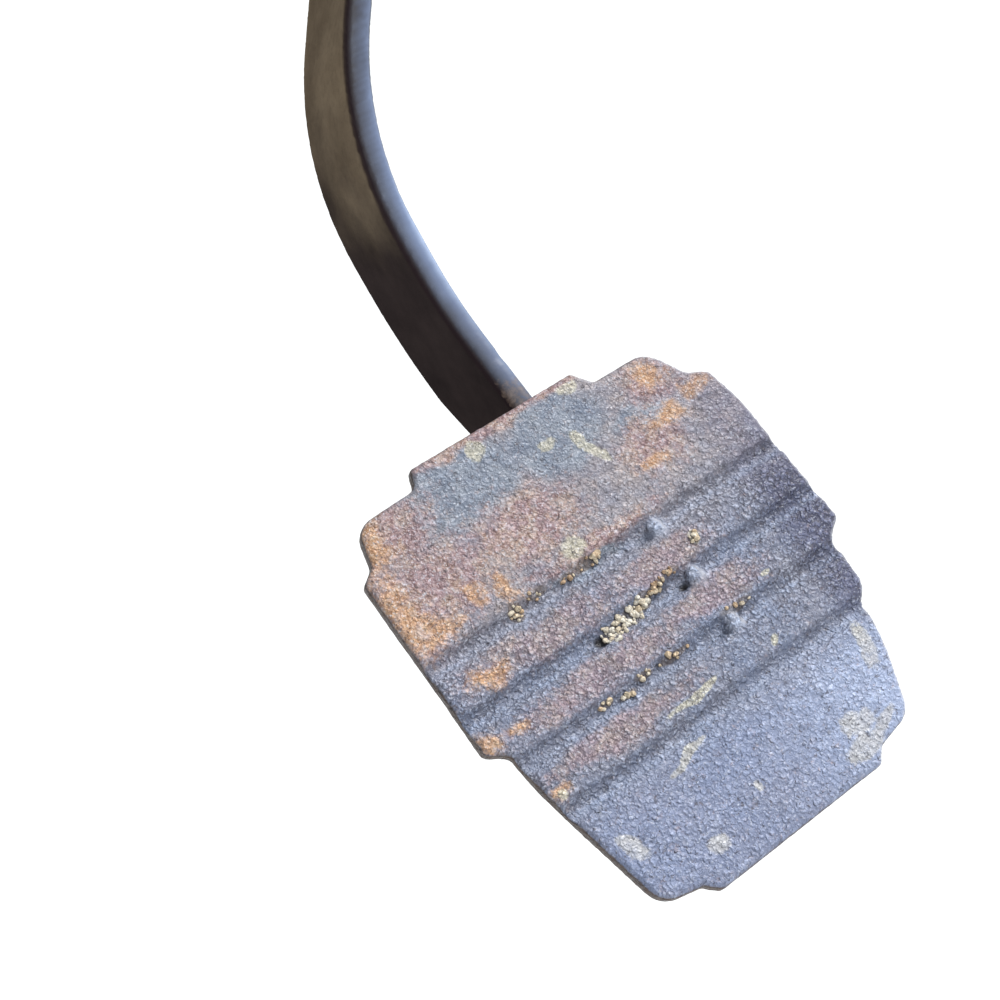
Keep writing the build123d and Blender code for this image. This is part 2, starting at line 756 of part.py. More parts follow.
spacer_gap = (fork_gap - arm_thickness) / 2 - spacer_thickness
with BuildPart() as clevis_washers:
    for spacer_x in (
        arm_x - fork_gap / 2 + spacer_gap / 2,
        arm_x + arm_thickness / 2 + spacer_gap / 2,
    ):
        with BuildSketch(along(spacer_x, pin_y, pin_z)):
            Circle(fork_width / 2)
            Circle(m8_radius + run, mode=Mode.SUBTRACT)
        extrude(amount=spacer_thickness)
clevis_washers.part.label = "clevis_washers"
export_step(clevis_washers.part, "parts/clevis_washers.step")

with BuildPart() as pin_bush:
    with BuildSketch(along(arm_x - arm_thickness / 2, pin_y, pin_z)):
        Circle(pin_bush_radius - slip)
        Circle(m8_radius + run, mode=Mode.SUBTRACT)
    extrude(amount=arm_thickness)
pin_bush.part.label = "pin_bush"
export_step(pin_bush.part, "parts/pin_bush.step")

with BuildPart() as pushrod:
    rod_start = fork_end_y - rod_in_fork
    with BuildSketch(forward(rod_start, arm_x, pin_z)):
        Circle(m8_radius)
    extrude(amount=rod_thread_end_y - rod_start)
    chamfer(pushrod.edges().sort_by(Axis.Y)[-1], m8_radius - rod_nose_radius)
    with BuildSketch(forward(rod_start, arm_x, pin_z)):
        Circle(rod_nose_radius)
    extrude(amount=rod_tip_y - rod_start)
    fillet(pushrod.edges().sort_by(Axis.Y)[-1], rod_nose_round)
    chamfer(pushrod.edges().filter_by(GeomType.CIRCLE).sort_by(Axis.Y)[0], thread_chamfer)
pushrod.part.label = "pushrod"
export_step(pushrod.part, "parts/pushrod.step")

with BuildPart() as pushrod_nut:
    add(hex_solid(forward(fork_end_y, arm_x, pin_z), m8_flats, m8_nut))
    with BuildSketch(forward(fork_end_y, arm_x, pin_z)):
        Circle(m8_radius + slip)
    extrude(amount=m8_nut, mode=Mode.SUBTRACT)
pushrod_nut.part.label = "pushrod_nut"
export_step(pushrod_nut.part, "parts/pushrod_nut.step")
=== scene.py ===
"""Looks of a worn hanging foot pedal: pitted and rusted pad, painted arm, bracket, spring and linkage."""

import json
import math

import bmesh
import bpy
import numpy as np
from mathutils import Matrix, Vector


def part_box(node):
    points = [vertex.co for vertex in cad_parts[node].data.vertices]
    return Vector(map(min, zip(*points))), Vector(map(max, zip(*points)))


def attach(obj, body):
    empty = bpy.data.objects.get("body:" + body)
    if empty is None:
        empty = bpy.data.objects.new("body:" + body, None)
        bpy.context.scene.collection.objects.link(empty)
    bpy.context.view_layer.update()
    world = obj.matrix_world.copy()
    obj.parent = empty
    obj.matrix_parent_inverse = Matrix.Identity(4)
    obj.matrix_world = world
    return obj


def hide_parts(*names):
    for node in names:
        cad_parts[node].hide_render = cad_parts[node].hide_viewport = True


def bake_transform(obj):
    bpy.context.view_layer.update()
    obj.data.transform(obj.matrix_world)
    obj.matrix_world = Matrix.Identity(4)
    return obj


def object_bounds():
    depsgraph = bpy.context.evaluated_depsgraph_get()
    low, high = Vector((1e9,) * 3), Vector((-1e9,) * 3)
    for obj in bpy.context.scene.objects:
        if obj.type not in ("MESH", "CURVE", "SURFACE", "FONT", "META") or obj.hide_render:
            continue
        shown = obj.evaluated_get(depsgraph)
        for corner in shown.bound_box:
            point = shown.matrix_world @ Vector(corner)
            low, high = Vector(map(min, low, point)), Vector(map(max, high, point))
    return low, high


MM = 0.001
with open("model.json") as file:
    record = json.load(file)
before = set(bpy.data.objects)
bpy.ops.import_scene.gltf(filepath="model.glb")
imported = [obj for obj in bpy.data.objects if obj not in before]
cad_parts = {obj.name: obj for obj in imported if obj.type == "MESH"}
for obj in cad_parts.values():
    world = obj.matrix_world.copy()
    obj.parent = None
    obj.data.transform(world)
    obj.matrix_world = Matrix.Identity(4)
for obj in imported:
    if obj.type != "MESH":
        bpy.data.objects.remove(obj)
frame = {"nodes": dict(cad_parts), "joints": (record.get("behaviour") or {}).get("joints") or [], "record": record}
cad_low, cad_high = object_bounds()
scene = bpy.context.scene

# ---------------------------------------------------------------- places taken from the frame
mounts = {m["name"]: m for m in frame["record"]["mounts"]}
joints = {j["name"]: j for j in frame["joints"]}
PAD_MOUNT_DOWN = 10 * MM  # the pad_face mount lies this far below the pad's top edge
pad_out = Vector(mounts["pad_face"]["axis"]).normalized()
pad_right = Vector((1, 0, 0))
pad_up = pad_out.cross(pad_right)
pad_top = Vector(mounts["pad_face"]["pos_m"]) + PAD_MOUNT_DOWN * pad_up
pivot = np.array(joints["pedal_swing"]["pos_m"])
ROD_THREAD_END = mounts["pushrod_tip"]["pos_m"][1] - mounts["pushrod_tip"]["dims"]["length_mm"] / 2 * MM

MERGE_DISTANCE = 1e-6  # points of a CAD mesh closer than this, in metres, are one
LATTICE = 32  # cells that a noise table has each way before it repeats
LATTICE_SHIFT = 11.7  # in cells; keeps the model off the table's own origin
MIX_SHARE, MIX_A, MIX_B, MIX_RESULT = 0, 6, 7, 2  # sockets of a colour mix node


# ---------------------------------------------------------------- noise in code
def value_noise(points, size, seed):
    """Smooth noise from 0 to 1 at points, with features about size wide."""
    table = np.random.default_rng(seed).random((LATTICE,) * 3)
    place = points / size + LATTICE_SHIFT
    cell = np.floor(place).astype(int)
    part = place - cell
    part = part * part * (3 - 2 * part)
    total = np.zeros(len(points))
    for dx in (0, 1):
        for dy in (0, 1):
            for dz in (0, 1):
                weight = np.abs(1 - dx - part[:, 0]) * np.abs(1 - dy - part[:, 1])
                weight *= np.abs(1 - dz - part[:, 2])
                corner = (cell + (dx, dy, dz)) % LATTICE
                total += weight * table[corner[:, 0], corner[:, 1], corner[:, 2]]
    return total


def fractal(points, size, seed, octaves=4):
    """Sum of value noises from 0 to 1, each half as wide and high as the last."""
    total, height = np.zeros(len(points)), 0.5
    for octave in range(octaves):
        total += height * value_noise(points, size / 2**octave, seed + octave)
        height /= 2
    return total / (1 - 0.5**octaves)


def cells(points, size, seed):
    """Distance to the nearest seed of a jittered lattice, as a share of size, and that seed's own number."""
    rng = np.random.default_rng(seed)
    jitter = rng.random((LATTICE, LATTICE, LATTICE, 3))
    number = rng.random((LATTICE,) * 3)
    place = points / size + LATTICE_SHIFT
    cell = np.floor(place).astype(int)
    nearest = np.full(len(points), np.inf)
    found = np.zeros(len(points))
    for dx in (-1, 0, 1):
        for dy in (-1, 0, 1):
            for dz in (-1, 0, 1):
                other = cell + (dx, dy, dz)
                wrapped = other % LATTICE
                index = (wrapped[:, 0], wrapped[:, 1], wrapped[:, 2])
                distance = np.linalg.norm(place - other - jitter[index], axis=1)
                closer = distance < nearest
                nearest[closer] = distance[closer]
                found[closer] = number[index][closer]
    return nearest, found


def ramp(values, low, high):
    """Smooth step from 0 at low to 1 at high."""
    t = np.clip((values - low) / (high - low), 0, 1)
    return t * t * (3 - 2 * t)


# ---------------------------------------------------------------- mesh helpers
def copy_of(nodes, name):
    """Plain mesh object with the shape of one CAD node or more, its face borders joined."""
    mesh = bpy.data.meshes.new(name)
    body = bmesh.new()
    for node in nodes.split():
        body.from_mesh(frame["nodes"][node].data)
    bmesh.ops.remove_doubles(body, verts=body.verts, dist=MERGE_DISTANCE)
    body.to_mesh(mesh)
    body.free()
    piece = bpy.data.objects.new(name, mesh)
    scene.collection.objects.link(piece)
    return piece


def apply_modifiers(piece):
    """Bakes the piece's modifiers into its mesh."""
    graph = bpy.context.evaluated_depsgraph_get()
    mesh = bpy.data.meshes.new_from_object(piece.evaluated_get(graph), depsgraph=graph)
    piece.modifiers.clear()
    piece.data = mesh


def remeshed(nodes, name, fine):
    """Even mesh with the shape of one CAD node or more, joined where they touch.
    """
    piece = copy_of(nodes, name)
    modifier = piece.modifiers.new("Remesh", "REMESH")
    modifier.mode = "VOXEL"
    modifier.voxel_size = fine * MM
    modifier.use_smooth_shade = True
    apply_modifiers(piece)
    return piece


def points_of(piece):
    co = np.empty(len(piece.data.vertices) * 3)
    piece.data.vertices.foreach_get("co", co)
    return co.reshape(-1, 3)


def normals_of(piece):
    normals = np.empty(len(piece.data.vertices) * 3)
    piece.data.vertices.foreach_get("normal", normals)
    return normals.reshape(-1, 3)


def set_points(piece, points):
    piece.data.vertices.foreach_set("co", points.ravel())
    piece.data.update()


def smooth_points(piece, rounds):
    """Evens out the small steps that remeshing leaves."""
    modifier = piece.modifiers.new("Smooth", "SMOOTH")
    modifier.factor = 0.5
    modifier.iterations = rounds
    apply_modifiers(piece)


def smooth_shading(piece):
    for polygon in piece.data.polygons:
        polygon.use_smooth = True


def store(piece, name, values):
    """Keeps a number for each vertex under a name that materials can read."""
    attribute = piece.data.attributes.new(name, "FLOAT", "POINT")
    attribute.data.foreach_set("value", values.astype(np.float32))


def finish_piece(piece, node, material, body):
    """Gives a piece its material, slot and body, and puts it in place of its CAD node."""
    piece.data.materials.clear()
    piece.data.materials.append(material)
    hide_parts(node)
    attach(piece, body)


# ---------------------------------------------------------------- material helpers
def srgb(red, green, blue):
    """Linear colour, with alpha, of an sRGB colour given from 0 to 255."""
    screen = [value / 255 for value in (red, green, blue)]
    linear = [value / 12.92 if value <= 0.04045 else ((value + 0.055) / 1.055) ** 2.4 for value in screen]
    return (*linear, 1.0)


class Shader:
    """Small builder of node materials. Sizes are in metres, and an input may be a socket or a plain value."""

    def __init__(self, name, roughness=0.5, metallic=0.0):
        self.material = bpy.data.materials.new(name)
        self.material.use_nodes = True
        self.tree = self.material.node_tree
        self.surface = self.tree.nodes["Principled BSDF"]
        self.surface.inputs["Roughness"].default_value = roughness
        self.surface.inputs["Metallic"].default_value = metallic
        self.place = self.add("ShaderNodeTexCoord").outputs["Object"]

    def add(self, kind, **settings):
        node = self.tree.nodes.new(kind)
        for key, value in settings.items():
            setattr(node, key, value)
        return node

    def link(self, source, target):
        if hasattr(source, "links"):
            self.tree.links.new(source, target)
        else:
            target.default_value = source

    def noise(self, size, detail=4.0, roughness=0.55, distortion=0.0, stretch=None):
        """Fractal noise with features about size metres wide."""
        node = self.add("ShaderNodeTexNoise")
        node.inputs["Scale"].default_value = 1 / size
        node.inputs["Detail"].default_value = detail
        node.inputs["Roughness"].default_value = roughness
        node.inputs["Distortion"].default_value = distortion
        self.link(self.mapped(stretch), node.inputs["Vector"])
        return node.outputs["Fac"]

    def mapped(self, stretch):
        """Place of the shaded point, squeezed by the three numbers of stretch."""
        if stretch is None:
            return self.place
        mapping = self.add("ShaderNodeMapping")
        mapping.inputs["Scale"].default_value = stretch
        self.link(self.place, mapping.inputs["Vector"])
        return mapping.outputs["Vector"]

    def lumps(self, size, warp):
        """Height of rounded lumps about size wide with creases between them, pushed aside by up to warp."""
        bend = self.add("ShaderNodeTexNoise")
        bend.inputs["Scale"].default_value = 0.6 / size
        self.link(self.place, bend.inputs["Vector"])
        moved = self.add("ShaderNodeVectorMath", operation="MULTIPLY_ADD")
        self.link(bend.outputs["Color"], moved.inputs[0])
        moved.inputs[1].default_value = (warp, warp, warp)
        self.link(self.place, moved.inputs[2])
        node = self.add("ShaderNodeTexVoronoi", feature="SMOOTH_F1")
        node.inputs["Scale"].default_value = 1 / size
        node.inputs["Smoothness"].default_value = 0.35
        self.link(moved.outputs[0], node.inputs["Vector"])
        return self.span(node.outputs["Distance"], 0.05, 0.75, 1.0, 0.0)

    def attribute(self, name):
        return self.add("ShaderNodeAttribute", attribute_name=name).outputs["Fac"]

    def edges(self):
        """Pointiness of the mesh: above one half on outer edges."""
        return self.add("ShaderNodeNewGeometry").outputs["Pointiness"]

    def maths(self, operation, a, b=0.0, c=0.0, clamp=False):
        node = self.add("ShaderNodeMath", operation=operation, use_clamp=clamp)
        for index, value in enumerate((a, b, c)):
            self.link(value, node.inputs[index])
        return node.outputs[0]

    def span(self, value, low, high, to_low=0.0, to_high=1.0):
        """Value spread from low..high to to_low..to_high, smoothly."""
        node = self.add("ShaderNodeMapRange", interpolation_type="SMOOTHSTEP")
        for index, number in enumerate((value, low, high, to_low, to_high)):
            self.link(number, node.inputs[index])
        return node.outputs[0]

    def mix(self, share, a, b, blend="MIX"):
        node = self.add("ShaderNodeMix", data_type="RGBA", blend_type=blend)
        self.link(share, node.inputs[MIX_SHARE])
        self.link(a, node.inputs[MIX_A])
        self.link(b, node.inputs[MIX_B])
        return node.outputs[MIX_RESULT]

    def times(self, a, b):
        return self.maths("MULTIPLY", a, b)

    def swing(self, noise, width, around):
        """Around, moved up and down by a noise over the given width."""
        return self.maths("MULTIPLY_ADD", self.maths("SUBTRACT", noise, 0.5), width, around)

    def tinted(self, share, colour, tint):
        """Colour multiplied by a tint, by the given share."""
        return self.mix(share, colour, self.mix(1.0, colour, tint, "MULTIPLY"))

    def ramp(self, value, *stops):
        """Colour that a value picks between stops, each a place from 0 to 1 and a colour."""
        node = self.add("ShaderNodeValToRGB")
        self.link(value, node.inputs[0])
        steps = node.color_ramp.elements
        while len(steps) < len(stops):
            steps.new(0.5)
        for step, (place, colour) in zip(steps, stops):
            step.position = place
            step.color = colour
        return node.outputs[0]

    def dot(self, normal):
        """How far a bent normal still agrees with the surface's own."""
        node = self.add("ShaderNodeVectorMath", operation="DOT_PRODUCT")
        self.link(normal, node.inputs[0])
        self.link(self.add("ShaderNodeNewGeometry").outputs["Normal"], node.inputs[1])
        return node.outputs["Value"]

    def bump(self, height, distance, strength=1.0, under=None):
        node = self.add("ShaderNodeBump")
        node.inputs["Strength"].default_value = strength
        node.inputs["Distance"].default_value = distance
        self.link(height, node.inputs["Height"])
        if under is not None:
            self.link(under, node.inputs["Normal"])
        return node.outputs["Normal"]

    def done(self, colour, roughness=None, normal=None, metallic=None, specular=None):
        """Joins what was made to the surface and returns the material."""
        self.link(colour, self.surface.inputs["Base Color"])
        if roughness is not None:
            self.link(roughness, self.surface.inputs["Roughness"])
        if normal is not None:
            self.link(normal, self.surface.inputs["Normal"])
        if metallic is not None:
            self.link(metallic, self.surface.inputs["Metallic"])
        if specular is not None:
            self.link(specular, self.surface.inputs["Specular IOR Level"])
        return self.material


# ---------------------------------------------------------------- pad
# patches on the pad's face: millimetres right of its middle and below its top edge, half width, half height,
# and a turn in degrees
ORANGE_RUST = (
    (-32.0, 18.0, 3.0, 7.5, 0), (-30.0, 22.5, 4.5, 2.6, 15), (-26.8, 23.6, 2.2, 1.3, 10),
    (-20.8, 21.7, 1.9, 1.7, 0), (-15.8, 23.2, 1.6, 2.8, -15), (-26.3, 33.7, 2.9, 1.6, 15),
    (-27.2, 42.8, 1.4, 1.0, 0), (-33.0, 42.0, 2.0, 2.6, 0), (-30.0, 6.5, 3.4, 4.6, 20),
    (25.8, 7.4, 3.0, 2.4, 0), (31.0, 12.2, 2.6, 1.6, -20), (-28.5, 54.0, 2.0, 1.4, 0),
    (17.0, 19.2, 2.6, 1.2, 20), (24.0, 14.6, 3.6, 1.8, 0),
)
BROWN_RUST = (
    (-24.0, 17.0, 9.5, 6.5, 0), (-7.0, 17.5, 9.0, 5.5, 0), (18.5, 17.0, 5.5, 4.5, 10),
    (-16.0, 33.0, 14.0, 2.6, 0), (7.0, 33.5, 9.0, 2.4, 0), (-12.0, 42.5, 16.0, 2.4, 0),
    (10.0, 42.0, 10.0, 2.4, 0), (-15.0, 51.0, 13.0, 1.8, 0), (0.0, 25.0, 12.0, 1.5, 0),
    (-27.0, 7.0, 8.0, 5.5, 0), (-31.0, 18.0, 4.5, 9.0, 0), (25.0, 8.0, 5.0, 4.0, 20),
    (0.0, 0.2, 22.0, 1.3, 0),
)
BLUE_GREY = (
    (-12.0, 6.5, 11.0, 6.0, 0), (6.0, 7.0, 9.0, 6.0, 0), (19.0, 12.5, 5.5, 3.2, 0),
    (-2.0, 26.0, 8.0, 2.4, 0),
)
CREAM = (
    (-6.7, 2.6, 1.5, 2.2, 10), (3.75, 7.8, 1.8, 1.1, 0), (8.9, 9.8, 1.2, 2.2, -10),
    (10.0, 13.2, 1.0, 3.0, -25), (12.4, 1.7, 2.2, 1.1, 0), (15.5, 74.5, 4.2, 1.8, 0),
    (-24.5, 66.0, 1.6, 3.4, -30), (-13.0, 73.0, 2.0, 1.8, 0), (26.4, 62.0, 1.8, 4.6, 15),
    (17.0, 71.0, 3.6, 2.4, 0), (20.2, 43.7, 1.2, 0.7, 0), (14.6, 53.4, 1.2, 0.8, 0),
    (21.0, 73.0, 3.4, 1.2, -20), (-9.0, 60.0, 5.0, 0.9, -12), (-2.0, 53.4, 6.0, 0.8, -4),
    (14.3, 33.0, 1.2, 1.1, 0), (-3.4, 24.0, 2.6, 2.0, 0), (-28.3, 54.2, 1.0, 1.0, 0),
    (-2.3, 69.8, 0.8, 1.0, 0),
)
# crust patches carry two more numbers: how many crumbs, and their tone from brown (0) to cream (1)
CRUST = (
    (-5.8, 38.2, 2.3, 1.5, 0, 34, 0.9), (-2.2, 37.7, 2.2, 1.5, 0, 34, 0.9),
    (1.0, 36.8, 1.9, 1.0, -15, 18, 0.7), (4.2, 36.0, 2.0, 0.7, -10, 14, 0.35),
    (7.6, 35.4, 1.4, 0.6, 0, 8, 0.25), (-17.0, 27.2, 1.4, 1.5, 0, 12, 0.5),
    (-12.4, 26.6, 1.8, 0.7, 0, 6, 0.4), (-6.8, 27.0, 1.4, 0.7, 0, 5, 0.4),
    (-2.6, 26.9, 2.4, 0.9, 0, 10, 0.5), (-14.2, 46.5, 1.6, 0.6, 0, 5, 0.6),
    (-10.2, 47.3, 1.6, 0.6, 0, 4, 0.6), (-6.6, 46.2, 1.8, 0.6, 0, 7, 0.6),
    (-0.4, 46.3, 2.8, 0.7, 0, 9, 0.5), (13.0, 45.6, 3.0, 0.8, 0, 5, 0.6),
    (14.3, 33.0, 0.8, 0.7, 0, 10, 0.62),
)
# dark spots just left of a crust patch and of a pip: painted shadows, also sunk a little into the face
DARK_SPOTS = ((-8.7, 38.3, 1.0, 0.9, 0), (8.0, 38.5, 0.8, 0.5, 0))
PLUGS = ((10.0, 28.4), (10.4, 38.0), (10.8, 47.6))  # middles of the three weld pips
PLUG_SHADOWS = ((7.6, 29.0, 1.7, 1.0, 0), (8.0, 38.6, 1.3, 0.9, 0), (8.8, 48.0, 1.0, 0.7, 0))
GROOVES = (27.9, 37.5, 47.1, 56.7)  # middle of each cross groove, below the pad's top edge
PAD_TALL, PAD_HALF_WIDE = 80, 40  # millimetres at which the attributes down and across reach 1
WOBBLE = 2.4  # millimetres over which the outlines of patches wander

# heights and depths on the pad's worn skin, in millimetres
BROAD_HEIGHT = 0.30
GRIT_HEIGHT = 0.26
PEBBLE_HEIGHT = 0.24
PIT_DEPTH = 0.12
SPOT_DEPTH = 0.35
CRUST_HEIGHT = 0.10
RUST_HEIGHT = 0.06
GROOVE_WEAR = 0.08
PLUG_HEIGHT = 0.26


def on_pad(points):
    """Millimetres right of the pad's middle and below its top edge, for each point."""
    place = (points - np.array(pad_top)) / MM
    return place @ np.array(pad_right), -place @ np.array(pad_up)


def patches(across, down, spots, edge):
    """One inside the listed ellipses and zero outside, with a soft edge either side of their outlines."""
    total = np.zeros(len(across))
    for x, y, half_width, half_height, turn, *_ in spots:
        cosine, sine = math.cos(math.radians(turn)), math.sin(math.radians(turn))
        u = ((across - x) * cosine + (down - y) * sine) / half_width
        v = ((down - y) * cosine - (across - x) * sine) / half_height
        total = np.maximum(total, 1 - ramp(np.sqrt(u * u + v * v), 1 - edge, 1 + edge))
    return total


def add_crumbs(pad):
    """Adds the crust's crumbs to the pad's mesh, half sunk in its face.

    Returns a number for each point: a crumb's tone from 0 to 1, or -1 on the plate.
    """
    points = points_of(pad)
    across, down = on_pad(points)
    face = np.flatnonzero(normals_of(pad) @ np.array(pad_out) > 0.5)
    rng = np.random.default_rng(12)
    ball = bmesh.new()
    bmesh.ops.create_icosphere(ball, subdivisions=2, radius=MM)
    ball_points = np.array([vert.co for vert in ball.verts])
    ball_faces = np.array([[vert.index for vert in side.verts] for side in ball.faces])
    ball.free()
    shapes, loops, tones = [], [], [np.full(len(points), -1.0)]
    for x, y, half_width, half_height, turn, count, tone in CRUST:
        for _ in range(count):
            angle, reach = rng.random() * math.tau, math.sqrt(rng.random())
            u, v = half_width * reach * math.cos(angle), half_height * reach * math.sin(angle)
            cosine, sine = math.cos(math.radians(turn)), math.sin(math.radians(turn))
            place = (x + u * cosine - v * sine, y + u * sine + v * cosine)
            near = face[np.argmin((across[face] - place[0]) ** 2 + (down[face] - place[1]) ** 2)]
            size = (0.25 + 0.38 * rng.random() ** 2) * (0.7 + 0.6 * rng.random(3))
            dents = 1 + 0.28 * (rng.random((len(ball_points), 1)) - 0.5)
            loops.append(ball_faces + len(shapes) * len(ball_points))
            shapes.append(ball_points * size * dents + points[near])
            tones.append(np.full(len(ball_points), np.clip(tone + 0.5 * (rng.random() - 0.5), 0, 1)))
    crumbs = bpy.data.meshes.new("crumbs")
    crumbs.from_pydata(np.concatenate(shapes).tolist(), [], np.concatenate(loops).tolist())
    body = bmesh.new()
    body.from_mesh(pad.data)
    body.from_mesh(crumbs)
    body.to_mesh(pad.data)
    body.free()
    smooth_shading(pad)
    return np.concatenate(tones)


def make_pad(material):
    """Pitted, crusted pad plate: an even fine mesh pushed in and out along its normals."""
    pad = remeshed("pad_plate plug_welds", "pad_plate_worn", 0.4)
    smooth_points(pad, 1)
    tone = add_crumbs(pad)
    crumb = (tone >= 0).astype(float)
    points, normals = points_of(pad), normals_of(pad)
    across, down = on_pad(points)
    out_share = normals @ np.array(pad_out)
    front = ramp(out_share, 0.2, 0.7)
    flank = (1 - ramp(-out_share, 0.2, 0.7)) * (1 - crumb)
    wobble = np.stack([value_noise(points, 3 * MM, 60 + i) - 0.5 for i in range(2)]) * WOBBLE

    def patch_share(spots, bend, edge):
        """Share of the listed patches, their outlines bent by the wobble."""
        return patches(across + wobble[0] * bend, down + wobble[1] * bend, spots, edge) * front

    orange = patch_share(ORANGE_RUST, 1.0, 0.75)
    crust = patch_share(CRUST, 0.4, 0.35)
    # dark spots: painted shadows beside a crust patch and a pip
    dark = patch_share(DARK_SPOTS, 0.0, 0.4)

    broad = fractal(points, 14 * MM, 3, 3) - 0.5
    pebble, pebble_number = cells(points, 1.05 * MM, 5)
    pit, number = cells(points, 1.9 * MM, 7)
    pits = (1 - ramp(pit, 0.10, 0.24)) * (number > 0.72) * front
    height = BROAD_HEIGHT * broad + GRIT_HEIGHT * (fractal(points, 1.5 * MM, 9, 2) - 0.5)
    height -= PEBBLE_HEIGHT * (pebble - 0.45) * (0.5 + pebble_number)
    height += CRUST_HEIGHT * crust + RUST_HEIGHT * orange - PIT_DEPTH * pits - SPOT_DEPTH * dark
    steps = down[:, None] - np.array(GROOVES)
    height -= GROOVE_WEAR * np.exp(-((steps / 1.2) ** 2)).sum(1) * front
    plug = np.zeros(len(points))
    for x, y in PLUGS:
        reach = np.hypot((across - x) * 0.9, down - y + 0.25 * wobble[0])
        height += PLUG_HEIGHT * (1 - ramp(reach, 0.9, 2.6)) * front
        # painted highlight on each pip, a little above and right of its middle
        reach = np.hypot(across - x - 0.4, down - y + 0.3) + 0.5 * wobble[1]
        plug = np.maximum(plug, 1 - ramp(reach, 0.5, 2.0))
    height *= (0.3 + 0.7 * front) * (1 - crumb)
    set_points(pad, points + normals * height[:, None] * MM)

    relief = height - BROAD_HEIGHT * broad
    steps = steps + 0.35 * wobble[0][:, None]
    turned = ramp(out_share, 0.40, 0.65) * (1 - ramp(out_share, 0.80, 0.94))
    for name, values in (
        ("orange", orange),
        ("brown", patch_share(BROWN_RUST, 1.0, 0.85)),
        ("blue", patch_share(BLUE_GREY, 1.0, 0.5)),
        ("cream", patch_share(CREAM, 0.5, 0.4)),
        ("crust", crust),
        ("dark", dark),
        ("pits", pits),
        # painted shade in the low places and a painted highlight on the high places of the relief
        ("low", ramp(-relief, 0.0, 0.20) * (1 - crumb)),
        ("high", ramp(relief, 0.02, 0.18) * (1 - crumb)),
        # painted shade on each groove's upper wall and a painted highlight on its lower wall
        ("groove_painted_shade", np.exp(-(((steps + 0.6) / 0.75) ** 2)).sum(1) * front),
        ("groove_painted_highlight", np.exp(-(((steps - 0.9) / 0.65) ** 2)).sum(1) * front),
        ("plug", plug * front),
        ("tone", tone),
        ("crumb", crumb),
        ("down", down / PAD_TALL),
        ("across", across / PAD_HALF_WIDE),
        ("shadow", ramp(patches(across, down, PLUG_SHADOWS, 0.6), 0, 1) * front),
        ("front", front),
        # painted shade on the rim turned away from the front, and a painted highlight on the rim turned to the
        # right
        ("shaded_rim", (1 - ramp(out_share, 0.30, 0.62)) * flank),
        ("painted_highlight_rim", turned * ramp(normals @ np.array(pad_right), 0.15, 0.4) * flank),
    ):
        store(pad, name, values)
    finish_piece(pad, "pad_plate", material, "pedal")
    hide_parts("plug_welds")


